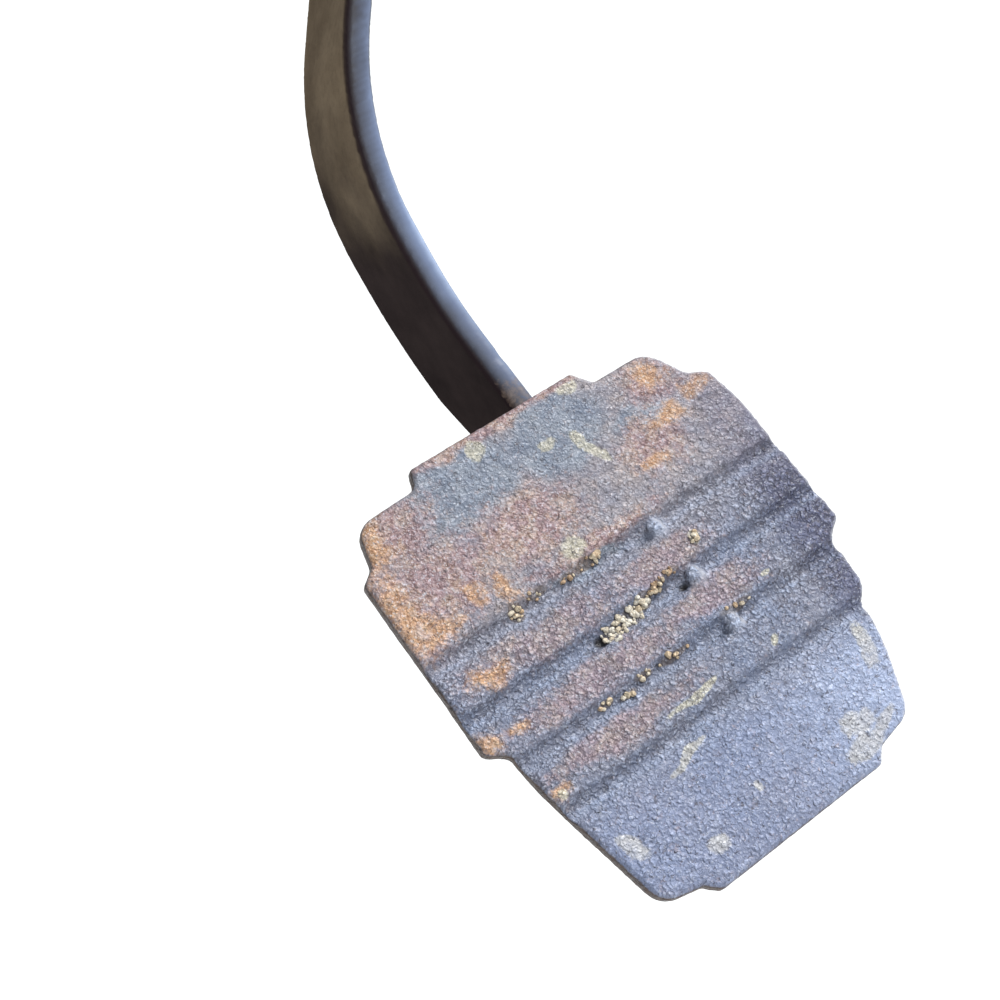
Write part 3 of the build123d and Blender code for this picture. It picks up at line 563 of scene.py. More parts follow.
def pad_material():
    """Bare pressed steel gone blue-grey, with brown and orange rust, cream crust and dark pits, and painted shade
    and highlights on its relief, grooves, pips and rims.
    """
    s = Shader("worn_pad")
    mottle = s.noise(5 * MM, 6)
    speckle = s.noise(0.9 * MM, 4, 0.75)
    grain = s.noise(0.45 * MM, 2, 0.6)
    ragged = s.noise(1.2 * MM, 6, 0.8)
    lumps = s.lumps(0.80 * MM, 1.5 * MM)
    small_lumps = s.lumps(0.45 * MM, 0.8 * MM)
    down, across = s.attribute("down"), s.attribute("across")
    roughness_share = s.span(s.swing(s.noise(7 * MM, 4), 0.25, down), 0.24, 0.38, 0.42, 1.0)
    lower = s.span(down, 0.68, 0.80)

    def share(name, spread, low, high, most):
        """Share of a patch, ragged at its edge."""
        return s.span(s.swing(ragged, spread, s.attribute(name)), low, high, 0, most)

    # bare steel, from the top of the pad to its foot
    steel_low, steel_mid, steel_high = srgb(112, 121, 146), srgb(136, 144, 167), srgb(164, 170, 188)
    steel = s.ramp(mottle, (0.30, steel_low), (0.52, steel_mid), (0.72, steel_high))
    lilac = s.ramp(s.noise(9 * MM, 5), (0.38, srgb(136, 148, 174)), (0.62, srgb(150, 148, 158)))
    colour = s.mix(0.45, steel, lilac)
    colour = s.mix(s.times(lower, 0.6), colour, srgb(136, 147, 179))
    # painted light: the lower pad grows lighter and bluer towards its right side, where the light falls
    painted_lit_side = s.times(s.span(across, -0.1, 0.7), lower)
    colour = s.mix(s.times(painted_lit_side, 0.9), colour, srgb(168, 181, 210))
    dark_side = s.span(across, 0.60, 0.78, 0, 0.85)
    colour = s.mix(s.maths("SUBTRACT", dark_side, lower, clamp=True), colour, srgb(108, 110, 130))
    upper = s.span(down, 0.26, 0.44, 0.85, 0.0)
    fresh = s.ramp(s.noise(4 * MM, 6, 0.6), (0.35, srgb(150, 148, 158)), (0.65, srgb(178, 166, 162)))
    colour = s.mix(upper, colour, fresh)

    # patches of rust, stain and crust
    grey_blue = s.ramp(s.noise(3 * MM, 5), (0.32, srgb(124, 136, 154)), (0.7, srgb(160, 168, 178)))
    colour = s.mix(share("blue", 1.4, 0.1, 0.8, 0.95), colour, grey_blue)

    def three_tones(low, high, *colours):
        """Dark, middle and light tone of a rust, picked grain by grain."""
        return s.ramp(speckle, *zip((low, 0.5, high), colours))

    brown = three_tones(0.36, 0.64, srgb(128, 92, 88), srgb(176, 142, 142), srgb(206, 182, 182))
    tan = three_tones(0.36, 0.64, srgb(150, 112, 88), srgb(194, 164, 146), srgb(216, 200, 190))
    brown = s.mix(s.span(s.noise(4 * MM, 5, 0.7), 0.42, 0.62), brown, tan)
    banded = s.span(down, 0.31, 0.40, 0.88, 0.58)
    colour = s.mix(s.times(share("brown", 2.4, 0.05, 0.95, 1.0), banded), colour, brown)
    orange = three_tones(0.34, 0.66, srgb(186, 136, 96), srgb(218, 168, 120), srgb(234, 202, 168))
    colour = s.mix(share("orange", 2.2, 0.10, 1.10, 0.85), colour, orange)
    dulled = s.maths("SUBTRACT", s.times(dark_side, 0.7), lower, clamp=True)
    colour = s.tinted(dulled, colour, srgb(206, 208, 232))
    cream = s.ramp(grain, (0.35, srgb(178, 174, 152)), (0.6, srgb(226, 220, 196)))
    chalk = s.ramp(mottle, (0.35, srgb(184, 184, 188)), (0.65, srgb(206, 204, 200)))
    colour = s.mix(share("cream", 1.8, 0.45, 1.00, 0.80), colour, s.mix(lower, cream, chalk))

    # grooves and pips: painted shade and highlights on the groove walls, a painted highlight on each pip, and
    # brown painted shade between the crumbs
    broken = s.span(ragged, 0.35, 0.6, 0.35, 1.0)
    # painted shade on each groove's upper wall and a painted highlight on its lower wall
    colour = s.mix(s.times(s.attribute("groove_painted_shade"), s.times(broken, 0.5)), colour, srgb(78, 86, 106))
    colour = s.mix(s.times(s.attribute("groove_painted_highlight"), s.times(broken, 0.45)), colour, srgb(168, 184, 212))
    # painted highlight on the weld pips
    colour = s.mix(s.times(s.attribute("plug"), 0.7), colour, srgb(160, 176, 204))
    colour = s.tinted(s.maths("SUBTRACT", 1.0, roughness_share), colour, srgb(210, 209, 214))
    # brown painted shade on the plate between the crust's crumbs
    colour = s.mix(s.span(s.attribute("crust"), 0.2, 0.8, 0, 0.6), colour, srgb(112, 92, 72))

    # relief: painted highlights on lump tops, high places and bright grains, painted shade in creases and low
    # places, dark specks, painted shadows beside the pips and the crust, and dark pits
    lit = s.mix(1.0, colour, srgb(255, 255, 255), "SOFT_LIGHT")
    colour = s.mix(s.span(lumps, 0.55, 0.95, 0, 0.30), colour, lit)
    creases = s.span(s.maths("MULTIPLY_ADD", small_lumps, 0.6, lumps), 0.30, 0.90, 0.70, 0.0)
    creases = s.times(creases, s.span(down, 0.62, 0.80, 1.0, 0.5))
    rough_areas = s.times(s.span(s.noise(5 * MM, 4, 0.6), 0.35, 0.62, 0.45, 1.0), roughness_share)
    creases = s.maths("MAXIMUM", s.times(creases, rough_areas), s.times(s.attribute("low"), 0.4))
    colour = s.tinted(creases, colour, srgb(124, 117, 124))
    colour = s.mix(s.times(s.attribute("high"), 0.28), colour, srgb(186, 190, 204))
    colour = s.mix(s.span(grain, 0.58, 0.70, 0, 0.45), colour, srgb(206, 210, 222))
    specks = s.times(s.span(s.noise(0.75 * MM, 3, 0.7), 0.58, 0.66), 0.70)
    colour = s.mix(specks, colour, srgb(66, 60, 66))
    colour = s.mix(s.times(s.attribute("shadow"), 0.55), colour, srgb(60, 66, 82))
    # painted shadows of the dark spots, and pits dark in their own colour
    shadow_spots_and_pits = s.maths("MAXIMUM", s.attribute("dark"), s.times(s.attribute("pits"), 0.55))
    colour = s.mix(shadow_spots_and_pits, colour, srgb(38, 35, 40))

    # crumbs, back, painted shade on the rim and a painted highlight where the rim turns to the right
    crumb_colour = s.ramp(
        s.attribute("tone"),
        (0.08, srgb(150, 118, 92)),
        (0.35, srgb(206, 176, 142)),
        (0.6, srgb(222, 206, 178)),
        (0.9, srgb(234, 228, 214)),
    )
    crumb_colour = s.mix(s.span(grain, 0.4, 0.6, 0.45, 0), crumb_colour, srgb(120, 104, 84))
    colour = s.mix(s.attribute("crumb"), colour, crumb_colour)
    dark_back, brown_back, rusty_back = srgb(52, 50, 54), srgb(84, 70, 66), srgb(118, 84, 62)
    back = s.ramp(s.noise(9 * MM, 6), (0.35, dark_back), (0.6, brown_back), (0.75, rusty_back))
    colour = s.mix(s.span(s.attribute("front"), 0.0, 0.6), back, colour)
    rim = s.ramp(speckle, (0.35, srgb(48, 40, 40)), (0.65, srgb(88, 68, 56)))
    colour = s.mix(s.times(s.attribute("shaded_rim"), 0.9), colour, rim)
    # painted highlight on the rim where it turns to the right
    colour = s.mix(s.times(s.attribute("painted_highlight_rim"), 0.5), colour, srgb(200, 200, 206))

    lumps_high = s.times(s.times(lumps, roughness_share), s.span(lower, 0, 1, 1.0, 0.8))
    bump = s.bump(lumps_high, 0.28 * MM, 0.9)
    bump = s.bump(small_lumps, 0.12 * MM, 0.8, bump)
    bump = s.bump(grain, 0.06 * MM, 0.6, bump)
    return s.done(colour, s.span(speckle, 0.3, 0.7, 0.36, 0.62), bump, metallic=0.1, specular=0.5)


# ---------------------------------------------------------------- arm and other painted steel
ARM_LEVELS = 400  # millimetres above the pad's top over which the arm's width is measured
WAVE_HEIGHT, DENT_DEPTH, PAINT_HEIGHT = 0.16, 0.10, 0.03  # millimetres, on the arm's skin


def make_arm(material):
    """Painted bar with slightly uneven faces and dents along its edges."""
    arm = remeshed("pedal_arm", "pedal_arm_painted", 0.6)
    smooth_points(arm, 3)
    points, normals = points_of(arm), normals_of(arm)
    dents, number = cells(points, 9 * MM, 21)
    height = WAVE_HEIGHT * (fractal(points, 22 * MM, 20, 3) - 0.5)
    height -= DENT_DEPTH * (1 - ramp(dents, 0.05, 0.22)) * (number > 0.6)
    height += PAINT_HEIGHT * (fractal(points, 2.5 * MM, 23, 2) - 0.5)
    set_points(arm, points + normals * height[:, None] * MM)
    above = (points[:, 2] - pad_top.z) / MM
    out_share = normals @ np.array(pad_out)
    facing = ramp(out_share, 0.25, 0.75)

    # the bar's left and right sides at each point's level
    level = np.clip(np.round(above).astype(int), 0, ARM_LEVELS)
    left_side, right_side = np.full(ARM_LEVELS + 1, np.inf), np.full(ARM_LEVELS + 1, -np.inf)
    np.minimum.at(left_side, level, points[:, 0])
    np.maximum.at(right_side, level, points[:, 0])
    wide = np.maximum(right_side[level] - left_side[level], 0.1 * MM)
    store(arm, "above", above / 100)
    store(arm, "left", ramp(-normals[:, 0], 0.25, 0.8))
    store(arm, "facing", facing)
    store(arm, "sideways", (points[:, 0] - left_side[level]) / wide)
    # corner: where painted shade goes, on the rounded corner between the left face and the front face
    store(arm, "corner", ramp(-normals[:, 0], 0.15, 0.45) * ramp(out_share, 0.1, 0.35))
    store(arm, "foot", (1 - ramp(above + 5 * (fractal(points, 5 * MM, 24, 3) - 0.5), 0.5, 5)) * facing)
    finish_piece(arm, "pedal_arm", material, "pedal")


def arm_material():
    """Satin black paint, with a painted brown reflection on the upper left face and a painted blue-grey sky
    reflection along the narrow front face, brightest as a painted highlight at its right edge, and painted shade
    along the corner between them.
    """
    s = Shader("arm_paint")
    mottle = s.noise(9 * MM, 5)
    fine = s.noise(1.2 * MM, 4, 0.65)
    above, left = s.attribute("above"), s.attribute("left")
    paint = s.ramp(mottle, (0.3, srgb(42, 36, 36)), (0.7, srgb(56, 48, 47)))
    black = s.ramp(mottle, (0.3, srgb(26, 25, 27)), (0.7, srgb(38, 37, 39)))
    colour = s.mix(left, black, paint)
    # painted reflection of the brown surroundings on the left face, from about 20 mm above the pad and weaker
    # higher up
    level = s.swing(s.noise(16 * MM, 4), 0.3, above)
    painted_reflection = s.times(s.times(s.span(level, 0.20, 0.62), left), s.span(level, 0.9, 1.7, 1.0, 0.3))
    pale_brown = s.ramp(s.noise(12 * MM, 5), (0.35, srgb(124, 108, 88)), (0.65, srgb(148, 131, 108)))
    colour = s.mix(s.times(painted_reflection, s.span(fine, 0.2, 0.6, 0.8, 1.0)), colour, pale_brown)
    # painted sky reflection on the narrow front face, dark on its left and rising to a painted highlight along its
    # right edge; it fades to black higher up and is dimmer near the pad
    painted_front_reflection = s.ramp(
        s.swing(s.noise(5 * MM, 5, 0.6), 0.3, s.attribute("sideways")),
        (0.12, srgb(44, 40, 46)),
        (0.38, srgb(82, 90, 110)),
        (0.66, srgb(116, 130, 160)),
        (0.92, srgb(168, 184, 212)),
    )
    painted_front_reflection = s.mix(s.span(above, 0.85, 1.5, 0, 0.85), painted_front_reflection, black)
    painted_front_reflection = s.tinted(s.span(above, 0.04, 0.30, 0.8, 0), painted_front_reflection, srgb(150, 152, 162))
    colour = s.mix(s.attribute("facing"), colour, painted_front_reflection)
    # painted shade along the corner between the left face and the front face
    colour = s.mix(s.times(s.attribute("corner"), 0.85), colour, srgb(46, 36, 38))
    worn = s.swing(fine, 0.12, s.edges())
    primer, scuffed, bare = srgb(66, 48, 42), srgb(104, 92, 90), srgb(138, 142, 156)
    worn_colour = s.ramp(fine, (0.35, primer), (0.55, scuffed), (0.75, bare))
    colour = s.mix(s.span(worn, 0.55, 0.60, 0, 0.6), colour, worn_colour)
    foot = s.span(s.swing(fine, 1.6, s.attribute("foot")), 0.6, 1.1, 0, 0.6)
    colour = s.mix(foot, colour, s.ramp(fine, (0.35, srgb(62, 46, 40)), (0.7, srgb(128, 110, 98))))
    chips = s.span(s.noise(2.4 * MM, 5, 0.7), 0.70, 0.74, 0, 0.5)
    colour = s.mix(chips, colour, srgb(84, 62, 52))
    rough = s.span(mottle, 0.3, 0.7, 0.34, 0.52)
    bump = s.bump(s.noise(0.8 * MM, 3), 0.05 * MM, 0.5)
    gloss = s.span(left, 0, 1, 0.5, 0.0)
    return s.done(colour, rough, s.bump(mottle, 0.3 * MM, 0.3, bump), specular=gloss)


def bracket_material():
    """Dusty semi-gloss black paint over pressed steel, lighter grey along its edges, with small chips down to
    primer.
    """
    s = Shader("bracket_paint")
    mottle = s.noise(14 * MM, 5)
    fine = s.noise(1.5 * MM, 4, 0.65)
    colour = s.ramp(mottle, (0.3, srgb(26, 27, 29)), (0.7, srgb(44, 44, 47)))
    # pale brown patches of dust on the bracket's paint
    pale_brown = s.span(s.noise(24 * MM, 6, 0.6), 0.48, 0.70, 0, 0.35)
    colour = s.mix(pale_brown, colour, srgb(118, 108, 94))
    chips = s.span(s.noise(3 * MM, 6, 0.75, 0.6), 0.69, 0.71, 0, 0.85)
    colour = s.mix(chips, colour, s.ramp(fine, (0.4, srgb(92, 58, 42)), (0.6, srgb(150, 146, 142))))
    # lighter grey along the edges that the bevel node finds, varied by fine noise
    bevel = s.add("ShaderNodeBevel", samples=4)
    bevel.inputs["Radius"].default_value = 0.6 * MM
    edge = s.maths("SUBTRACT", 1.0, s.dot(bevel.outputs["Normal"]))
    edge = s.times(edge, s.span(fine, 0.35, 0.6, 0.2, 1.6))
    colour = s.mix(s.span(edge, 0.02, 0.10, 0, 0.8), colour, srgb(128, 122, 118))
    bump = s.bump(s.noise(0.9 * MM, 3), 0.04 * MM, 0.6)
    bump = s.bump(chips, 0.05 * MM, 0.6, bump)
    return s.done(colour, s.span(pale_brown, 0.0, 0.35, 0.32, 0.62), bump)


def metal_material(name, dark, light, rough_low, rough_high, tint=None, lines=None):
    """Bare or plated steel: cloudy tone, brown stains and fine scratches, squeezed by lines along an axis."""
    s = Shader(name, metallic=1.0)
    cloud = s.noise(6 * MM, 5)
    fine = s.noise(0.7 * MM, 4, 0.7)
    colour = s.ramp(cloud, (0.3, dark), (0.7, light))
    if tint:
        colour = s.mix(s.span(s.noise(9 * MM, 6, 0.65), 0.5, 0.72, 0, 0.6), colour, tint)
    patch_share = s.span(s.noise(2.2 * MM, 6, 0.7), 0.62, 0.74, 0, 0.7)
    colour = s.mix(patch_share, colour, srgb(96, 66, 44))
    scratch = s.noise(1.4 * MM, 2, 0.5, stretch=lines)
    rough = s.maths("MULTIPLY_ADD", patch_share, 0.3, s.span(cloud, 0.3, 0.7, rough_low, rough_high))
    bump = s.bump(scratch, 0.02 * MM, 0.7)
    bump = s.bump(fine, 0.02 * MM, 0.5, bump)
    return s.done(colour, rough, bump, metallic=s.span(patch_share, 0, 0.7, 1.0, 0.3))


def weld_material():
    """Weld metal under thin paint, brighter on its ripples, with spots of rust."""
    s = Shader("weld")
    fine = s.noise(1.1 * MM, 4, 0.7)
    colour = s.ramp(s.noise(5 * MM, 5), (0.3, srgb(34, 32, 34)), (0.65, srgb(56, 53, 54)))
    colour = s.mix(s.span(s.attribute("ripple"), 0.35, 0.95, 0, 0.25), colour, srgb(104, 100, 100))
    rust = s.span(s.noise(2.6 * MM, 5, 0.7), 0.60, 0.72, 0, 0.6)
    colour = s.mix(rust, colour, s.ramp(fine, (0.35, srgb(84, 52, 38)), (0.7, srgb(148, 98, 64))))
    return s.done(colour, s.span(fine, 0.3, 0.7, 0.4, 0.65), s.bump(fine, 0.08 * MM, 0.7), metallic=0.3)


def nylon_material():
    """Natural nylon, slightly see-through, with grey grease marks."""
    s = Shader("nylon", roughness=0.45)
    colour = s.ramp(s.noise(6 * MM, 4), (0.3, srgb(206, 200, 180)), (0.7, srgb(222, 217, 200)))
    grease = s.span(s.noise(3 * MM, 5, 0.65), 0.55, 0.72, 0, 0.7)
    colour = s.mix(grease, colour, srgb(92, 86, 76))
    s.surface.inputs["Subsurface Weight"].default_value = 0.15
    s.surface.inputs["Subsurface Radius"].default_value = (MM, MM, MM)
    return s.done(colour, s.span(grease, 0, 0.7, 0.5, 0.25), s.bump(s.noise(0.9 * MM, 3), 0.02 * MM, 0.6))


def rubber_material():
    """Moulded black rubber with a dusty bloom."""
    s = Shader("rubber", roughness=0.8)
    colour = s.ramp(s.noise(4 * MM, 5), (0.35, srgb(24, 24, 25)), (0.7, srgb(44, 43, 42)))
    bloom = s.span(s.noise(1.6 * MM, 6, 0.7), 0.5, 0.75, 0, 0.35)
    colour = s.mix(bloom, colour, srgb(120, 114, 104))
    return s.done(colour, s.span(bloom, 0, 0.35, 0.62, 0.9), s.bump(s.noise(0.5 * MM, 3), 0.04 * MM, 0.7))


FLAT_ANGLE = math.radians(0.6)  # faces that meet at less than this are joined into one
SHARP_ANGLE = math.radians(40)  # edges that turn more than this get rounded


def round_edges(piece, width, segments, weight):
    """Rounds the piece's sharp edges by width millimetres, and keeps its flat faces flat in the shading."""
    modifier = piece.modifiers.new("Bevel", "BEVEL")
    modifier.width = width * MM
    modifier.segments = segments
    modifier.limit_method = "ANGLE"
    modifier.angle_limit = SHARP_ANGLE
    normals = piece.modifiers.new("Normals", "WEIGHTED_NORMAL")
    normals.keep_sharp = False
    normals.weight = weight
    apply_modifiers(piece)


def bevelled(node, name, material, body, width):
    """Copy of a CAD node with flat faces joined and its sharp edges rounded."""
    piece = copy_of(node, name)
    mesh = bmesh.new()
    mesh.from_mesh(piece.data)
    bmesh.ops.dissolve_limit(mesh, angle_limit=FLAT_ANGLE, verts=mesh.verts, edges=mesh.edges)
    mesh.to_mesh(piece.data)
    mesh.free()
    smooth_shading(piece)
    round_edges(piece, width, segments=3, weight=100)
    finish_piece(piece, node, material, body)


# ---------------------------------------------------------------- welds
RIPPLE_PITCH = 2.3  # millimetres from one scale of a weld bead to the next
RING_RADIUS = 13.5  # millimetres from the pivot axis to the middle of the ring beads
PAD_BEAD_OFFSET = 4.0  # millimetres from the arm's middle to the middle of a pad bead
BEAD_LEG = 2.0  # millimetres from a bracket bead's outer edge to its middle
TOP_BEAD_DEPTH = 5 * MM  # bracket beads higher than this, measured from the top, are the top bead


def rippled(node, name, material, body, run):
    """Weld beads with overlapping scales along their run.

    The function run gives each point's distance along the bead and across it, in millimetres.
    """
    piece = remeshed(node, name, 0.4)
    smooth_points(piece, 2)
    points, normals = points_of(piece), normals_of(piece)
    along, across = run(points)
    phase = (along + 0.16 * across * across + 1.4 * (fractal(points, 6 * MM, 31, 2) - 0.5)) / RIPPLE_PITCH
    scale = phase - np.floor(phase)
    ripple = np.sqrt(np.clip(1 - scale, 0, 1)) * (0.8 + 0.4 * value_noise(points, 3 * MM, 33))
    height = 0.26 * (ripple - 0.6) + 0.35 * (fractal(points, 5 * MM, 34, 3) - 0.5)
    set_points(piece, points + normals * height[:, None] * MM)
    store(piece, "ripple", ripple)
    finish_piece(piece, node, material, body)


def pad_weld_run(points):
    """Both beads run down the pad, one on each side of the arm."""
    across, down = on_pad(points)
    return down, np.abs(across - np.median(across)) - PAD_BEAD_OFFSET


def ring_run(points):
    """Both beads run round the pivot axis."""
    place = (points - pivot) / MM
    angle = np.arctan2(place[:, 2], place[:, 1])
    radius = np.hypot(place[:, 1], place[:, 2])
    return angle * RING_RADIUS, radius - RING_RADIUS


def bracket_weld_run(points):
    """The upright beads run along Z and the top bead along X."""
    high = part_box("bracket_welds")[1]
    top = points[:, 2] > high.z - TOP_BEAD_DEPTH
    along = np.where(top, points[:, 0], points[:, 2]) / MM
    across = np.where(top, high.z - points[:, 2], high.x - np.abs(points[:, 0])) / MM
    return along, across - BEAD_LEG


# ---------------------------------------------------------------- threads
THREAD_SIDES = 40  # points round one ring of a thread
THREAD_ROWS = 10  # rings to one turn of a thread
THREAD_FADE = 1.2  # millimetres over which a thread runs out at its ends


def threaded(name, start, end, radius, pitch, depth, material):
    """Screw thread along X or Y from start to end: a tube of rings whose radius follows the helix."""
    axis = Vector(end) - Vector(start)
    length = axis.length
    axis.normalize()
    side = Vector((0, 0, 1))
    other = axis.cross(side)
    rows = max(int(length / (pitch * MM) * THREAD_ROWS), 4)
    mesh = bmesh.new()
    rings = []
    for row in range(rows + 1):
        place = length * row / rows
        ends = min(1.0, place / (THREAD_FADE * MM), (length - place) / (THREAD_FADE * MM))
        ring = []
        for step in range(THREAD_SIDES):
            turn = math.tau * step / THREAD_SIDES
            phase = (place / (pitch * MM) - step / THREAD_SIDES) % 1
            groove = min(1.0, max(0.0, 1.25 - abs(phase - 0.5) * 4))  # 0 on the crest, 1 along the root
            reach = radius * MM - depth * MM * (groove * ends + (1 - ends) * 0.15)
            outward = side * math.cos(turn) + other * math.sin(turn)
            ring.append(mesh.verts.new(Vector(start) + axis * place + outward * reach))
        rings.append(ring)
    for low, high in zip(rings, rings[1:]):
        for step in range(THREAD_SIDES):
            after = (step + 1) % THREAD_SIDES
            mesh.faces.new((low[step], low[after], high[after], high[step]))
    mesh.faces.new(reversed(rings[0]))
    mesh.faces.new(rings[-1])
    bmesh.ops.recalc_face_normals(mesh, faces=mesh.faces)
    data = bpy.data.meshes.new(name)
    mesh.to_mesh(data)
    mesh.free()
    data.materials.append(material)
    for polygon in data.polygons:
        polygon.use_smooth = len(polygon.vertices) == 4
    piece = bpy.data.objects.new(name, data)
    scene.collection.objects.link(piece)
    return piece


def cut_copy(node, name, place, direction):
    """Part of a CAD node's shape on the side of place that direction points to, closed at the cut."""
    piece = copy_of(node, name)
    mesh = bmesh.new()
    mesh.from_mesh(piece.data)
    everything = mesh.verts[:] + mesh.edges[:] + mesh.faces[:]
    cut = bmesh.ops.bisect_plane(mesh, geom=everything, plane_co=place, plane_no=direction, clear_inner=True)
    bmesh.ops.holes_fill(mesh, edges=[e for e in cut["geom_cut"] if isinstance(e, bmesh.types.BMEdge)])
    bmesh.ops.dissolve_limit(mesh, angle_limit=FLAT_ANGLE, verts=mesh.verts, edges=mesh.edges)
    mesh.to_mesh(piece.data)
    mesh.free()
    smooth_shading(piece)
    return piece


def join(pieces, name):
    """One object made of several, under a new name."""
    bpy.ops.object.select_all(action="DESELECT")
    for piece in pieces:
        piece.select_set(True)
    bpy.context.view_layer.objects.active = pieces[0]
    bpy.ops.object.join()
    pieces[0].name = name
    return pieces[0]


BOLT_THREAD_LEAD = 5 * MM  # the pivot bolt's thread starts this far before its nut
STOP_HEAD_TALL = 5.3 * MM
STOP_SHANK = 0.6 * MM  # plain shank between the stop screw's head and its thread
NOSE_OVERLAP = 0.4 * MM  # the rod's plain nose starts this far inside the thread


def make_screws(zinc, bright):
    """Pivot bolt, stop screw and pushrod with real threads where the nuts run."""
    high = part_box("pivot_bolt")[1]
    y, z = pivot[1], pivot[2]
    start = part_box("pivot_nut")[0].x - BOLT_THREAD_LEAD
    head = cut_copy("pivot_bolt", "bolt_head", Vector((start, 0, 0)), Vector((-1, 0, 0)))
    round_edges(head, 0.3, segments=2, weight=50)
    thread = threaded("bolt_thread", (start, y, z), (high.x, y, z), 5.0, 1.5, 0.75, zinc)
    finish_piece(join([head, thread], "pivot_bolt_threaded"), "pivot_bolt", zinc, "bracket")

    low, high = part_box("stop_screw")
    x, z = (low.x + high.x) / 2, (low.z + high.z) / 2
    start = low.y + STOP_HEAD_TALL + STOP_SHANK
    head = cut_copy("stop_screw", "stop_head", Vector((0, start, 0)), Vector((0, -1, 0)))
    round_edges(head, 0.25, segments=2, weight=50)
    thread = threaded("stop_thread", (x, start, z), (x, high.y, z), 4.0, 1.25, 0.6, zinc)
    finish_piece(join([head, thread], "stop_screw_threaded"), "stop_screw", zinc, "bracket")

    low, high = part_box("pushrod")
    x, z = (low.x + high.x) / 2, (low.z + high.z) / 2
    cut = Vector((0, ROD_THREAD_END - NOSE_OVERLAP, 0))
    nose = cut_copy("pushrod", "rod_nose", cut, Vector((0, 1, 0)))
    thread = threaded("rod_thread", (x, low.y, z), (x, ROD_THREAD_END, z), 4.0, 1.25, 0.6, bright)
    finish_piece(join([nose, thread], "pushrod_threaded"), "pushrod", bright, "pushrod_link")


# ---------------------------------------------------------------- spring and bumper
def make_spring(material):
    """Torsion spring between its bracket leg and its pedal leg: its CAD shape with smooth shading, fixed where it
    stands.
    """
    spring = copy_of("return_spring", "return_spring_wire")
    smooth_shading(spring)
    spring.data.materials.append(material)
    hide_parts("return_spring")
    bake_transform(spring)


RUBBER_RINGS = (5.0, 3.2, 2.2)  # middle, reach and pitch of the bumper's rings, millimetres along it


def make_bumper(material):
    """Moulded rubber bumper with a parting line and three shallow rings."""
    low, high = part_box("stop_bumper")
    piece = remeshed("stop_bumper", "stop_bumper_rubber", 0.25)
    smooth_points(piece, 1)
    points, normals = points_of(piece), normals_of(piece)
    middle = np.array((low + high) / 2)
    radius = np.hypot(points[:, 0] - middle[0], points[:, 2] - middle[2]) / MM
    along = (points[:, 1] - low.y) / MM
    side = ramp(radius, 6.8, 7.6) * (1 - np.abs(normals[:, 1]))
    ring_middle, ring_reach, ring_pitch = RUBBER_RINGS
    rings = 0.30 * (np.abs(along - ring_middle) < ring_reach)
    rings *= 0.5 - 0.5 * np.cos(math.tau * along / ring_pitch)
    flash = 0.16 * (1 - ramp(np.abs(points[:, 0] - middle[0]) / MM, 0.1, 0.4))
    height = side * (flash - rings) + 0.08 * (fractal(points, 2 * MM, 41, 3) - 0.5)
    set_points(piece, points + normals * height[:, None] * MM)
    finish_piece(piece, "stop_bumper", material, "bracket")


# ---------------------------------------------------------------- stage
FLOOR_DOWN = 0.10  # metres from the pedal's lowest point down to the floor
FLOOR_SIZE = 12
CAMERA_PLACE = Vector((-0.12203, -0.27116, 0.10265))  # from the middle of the pad's top edge
CAMERA_FORWARD = Vector((0.36846, 0.85612, -0.36235)).normalized()
CAMERA_UPWARD = Vector((0.49913, 0.14665, 0.85403))
LENS, SENSOR = 72, 36  # millimetres


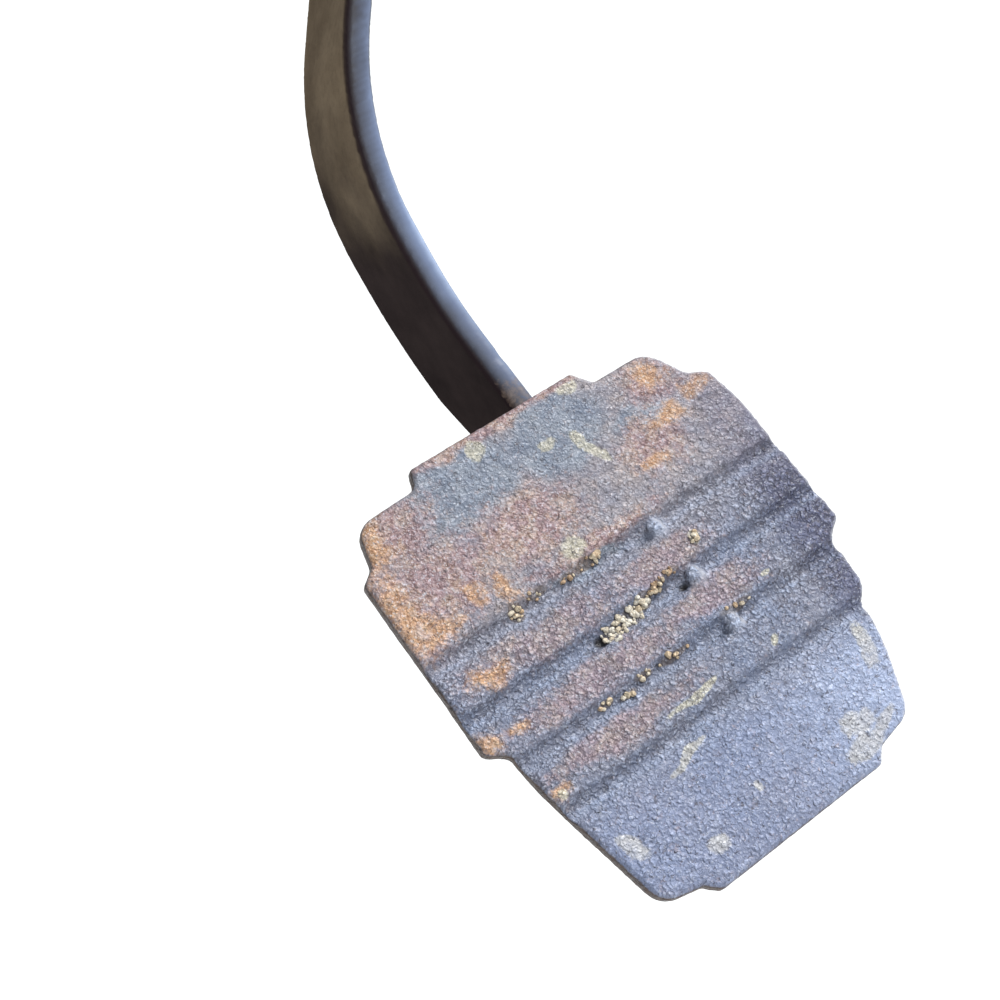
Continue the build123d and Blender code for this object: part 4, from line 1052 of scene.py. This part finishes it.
def make_stage():
    """Plain pale floor, soft studio light and the camera."""
    middle = (cad_low + cad_high) / 2
    bpy.ops.mesh.primitive_plane_add(size=FLOOR_SIZE, location=(middle.x, middle.y, cad_low.z - FLOOR_DOWN))
    floor = bpy.context.object
    floor.name = "floor"
    s = Shader("pale_floor", roughness=0.9)
    paper = s.ramp(s.noise(0.25, 3), (0.3, srgb(250, 250, 250)), (0.7, srgb(254, 254, 254)))
    floor.data.materials.append(s.done(paper))

    world = bpy.data.worlds.new("studio")
    scene.world = world
    world.use_nodes = True
    sky = world.node_tree.nodes["Background"]
    sky.inputs["Color"].default_value = (0.90, 0.95, 1.0, 1)
    sky.inputs["Strength"].default_value = 0.5

    def light(kind, name, offset, energy, colour, **settings):
        """Lamp at an offset from the pad's top edge, shining back at it."""
        lamp = bpy.data.lights.new(name, kind)
        lamp.energy = energy
        lamp.color = colour
        for key, value in settings.items():
            setattr(lamp, key, value)
        piece = bpy.data.objects.new(name, lamp)
        scene.collection.objects.link(piece)
        piece.location = pad_top + Vector(offset)
        piece.rotation_euler = Vector(offset).to_track_quat("Z", "Y").to_euler()

    light("SUN", "key_light", (0.66, -0.12, 0.76), 3.2, (1.0, 0.985, 0.96), angle=math.radians(9))
    light("AREA", "front_light", (0.25, -0.8, 0.45), 2.2, (0.82, 0.90, 1.0), shape="DISK", size=0.5)

    camera = bpy.data.objects.new("camera", bpy.data.cameras.new("camera"))
    scene.collection.objects.link(camera)
    camera.data.sensor_width = SENSOR
    camera.data.lens = LENS
    camera.data.clip_start, camera.data.clip_end = 0.01, 30
    side = CAMERA_FORWARD.cross(CAMERA_UPWARD).normalized()
    turned = Matrix((side, side.cross(CAMERA_FORWARD), -CAMERA_FORWARD)).transposed().to_4x4()
    camera.matrix_world = Matrix.Translation(pad_top + CAMERA_PLACE) @ turned
    scene.camera = camera
    scene.view_settings.view_transform = "Standard"


make_pad(pad_material())
make_arm(arm_material())
bracket_paint = bracket_material()
zinc_yellow = srgb(176, 168, 130)
zinc = metal_material("zinc_plate", srgb(150, 148, 138), srgb(188, 186, 176), 0.38, 0.55, tint=zinc_yellow)
bright = metal_material("turned_steel", srgb(140, 140, 142), srgb(186, 186, 188), 0.26, 0.4, lines=(1, 12, 1))
spring_steel = metal_material("spring_wire", srgb(58, 58, 62), srgb(92, 92, 96), 0.30, 0.48)
weld = weld_material()
nylon = nylon_material()
rubber = rubber_material()
for node, slot_name, material, body, width in (
    ("bracket_channel", "bracket_paint", bracket_paint, "bracket", 0.5),
    ("bulkhead_plate", "bracket_paint", bracket_paint, "bracket", 0.4),
    ("stop_plate", "bracket_paint", bracket_paint, "bracket", 0.4),
    ("pivot_washers", "zinc", zinc, "bracket", 0.25),
    ("pivot_nut", "zinc", zinc, "bracket", 0.25),
    ("stop_nut", "zinc", zinc, "bracket", 0.25),
    ("pivot_sleeve", "bright_steel", bright, "bracket", 0.2),
    ("pivot_tube", "arm_paint", bracket_paint, "pedal", 0.3),
    ("bush_left", "nylon", nylon, "pedal", 0.3),
    ("bush_right", "nylon", nylon, "pedal", 0.3),
    ("pin_bush", "nylon", nylon, "pedal", 0.1),
    ("clevis", "zinc", zinc, "pushrod_link", 0.3),
    ("clevis_pin", "bright_steel", bright, "pushrod_link", 0.2),
    ("clevis_washers", "zinc", zinc, "pushrod_link", 0.2),
    ("clevis_clip", "spring_steel", spring_steel, "pushrod_link", 0.1),
    ("pushrod_nut", "zinc", zinc, "pushrod_link", 0.25),
):
    bevelled(node, node + "_finished", material, body, width)
rippled("pad_welds", "pad_weld_beads", weld, "pedal", pad_weld_run)
rippled("tube_welds", "tube_weld_rings", weld, "pedal", ring_run)
rippled("bracket_welds", "bracket_weld_beads", weld, "bracket", bracket_weld_run)
make_screws(zinc, bright)
make_spring(spring_steel)
make_bumper(rubber)
make_stage()
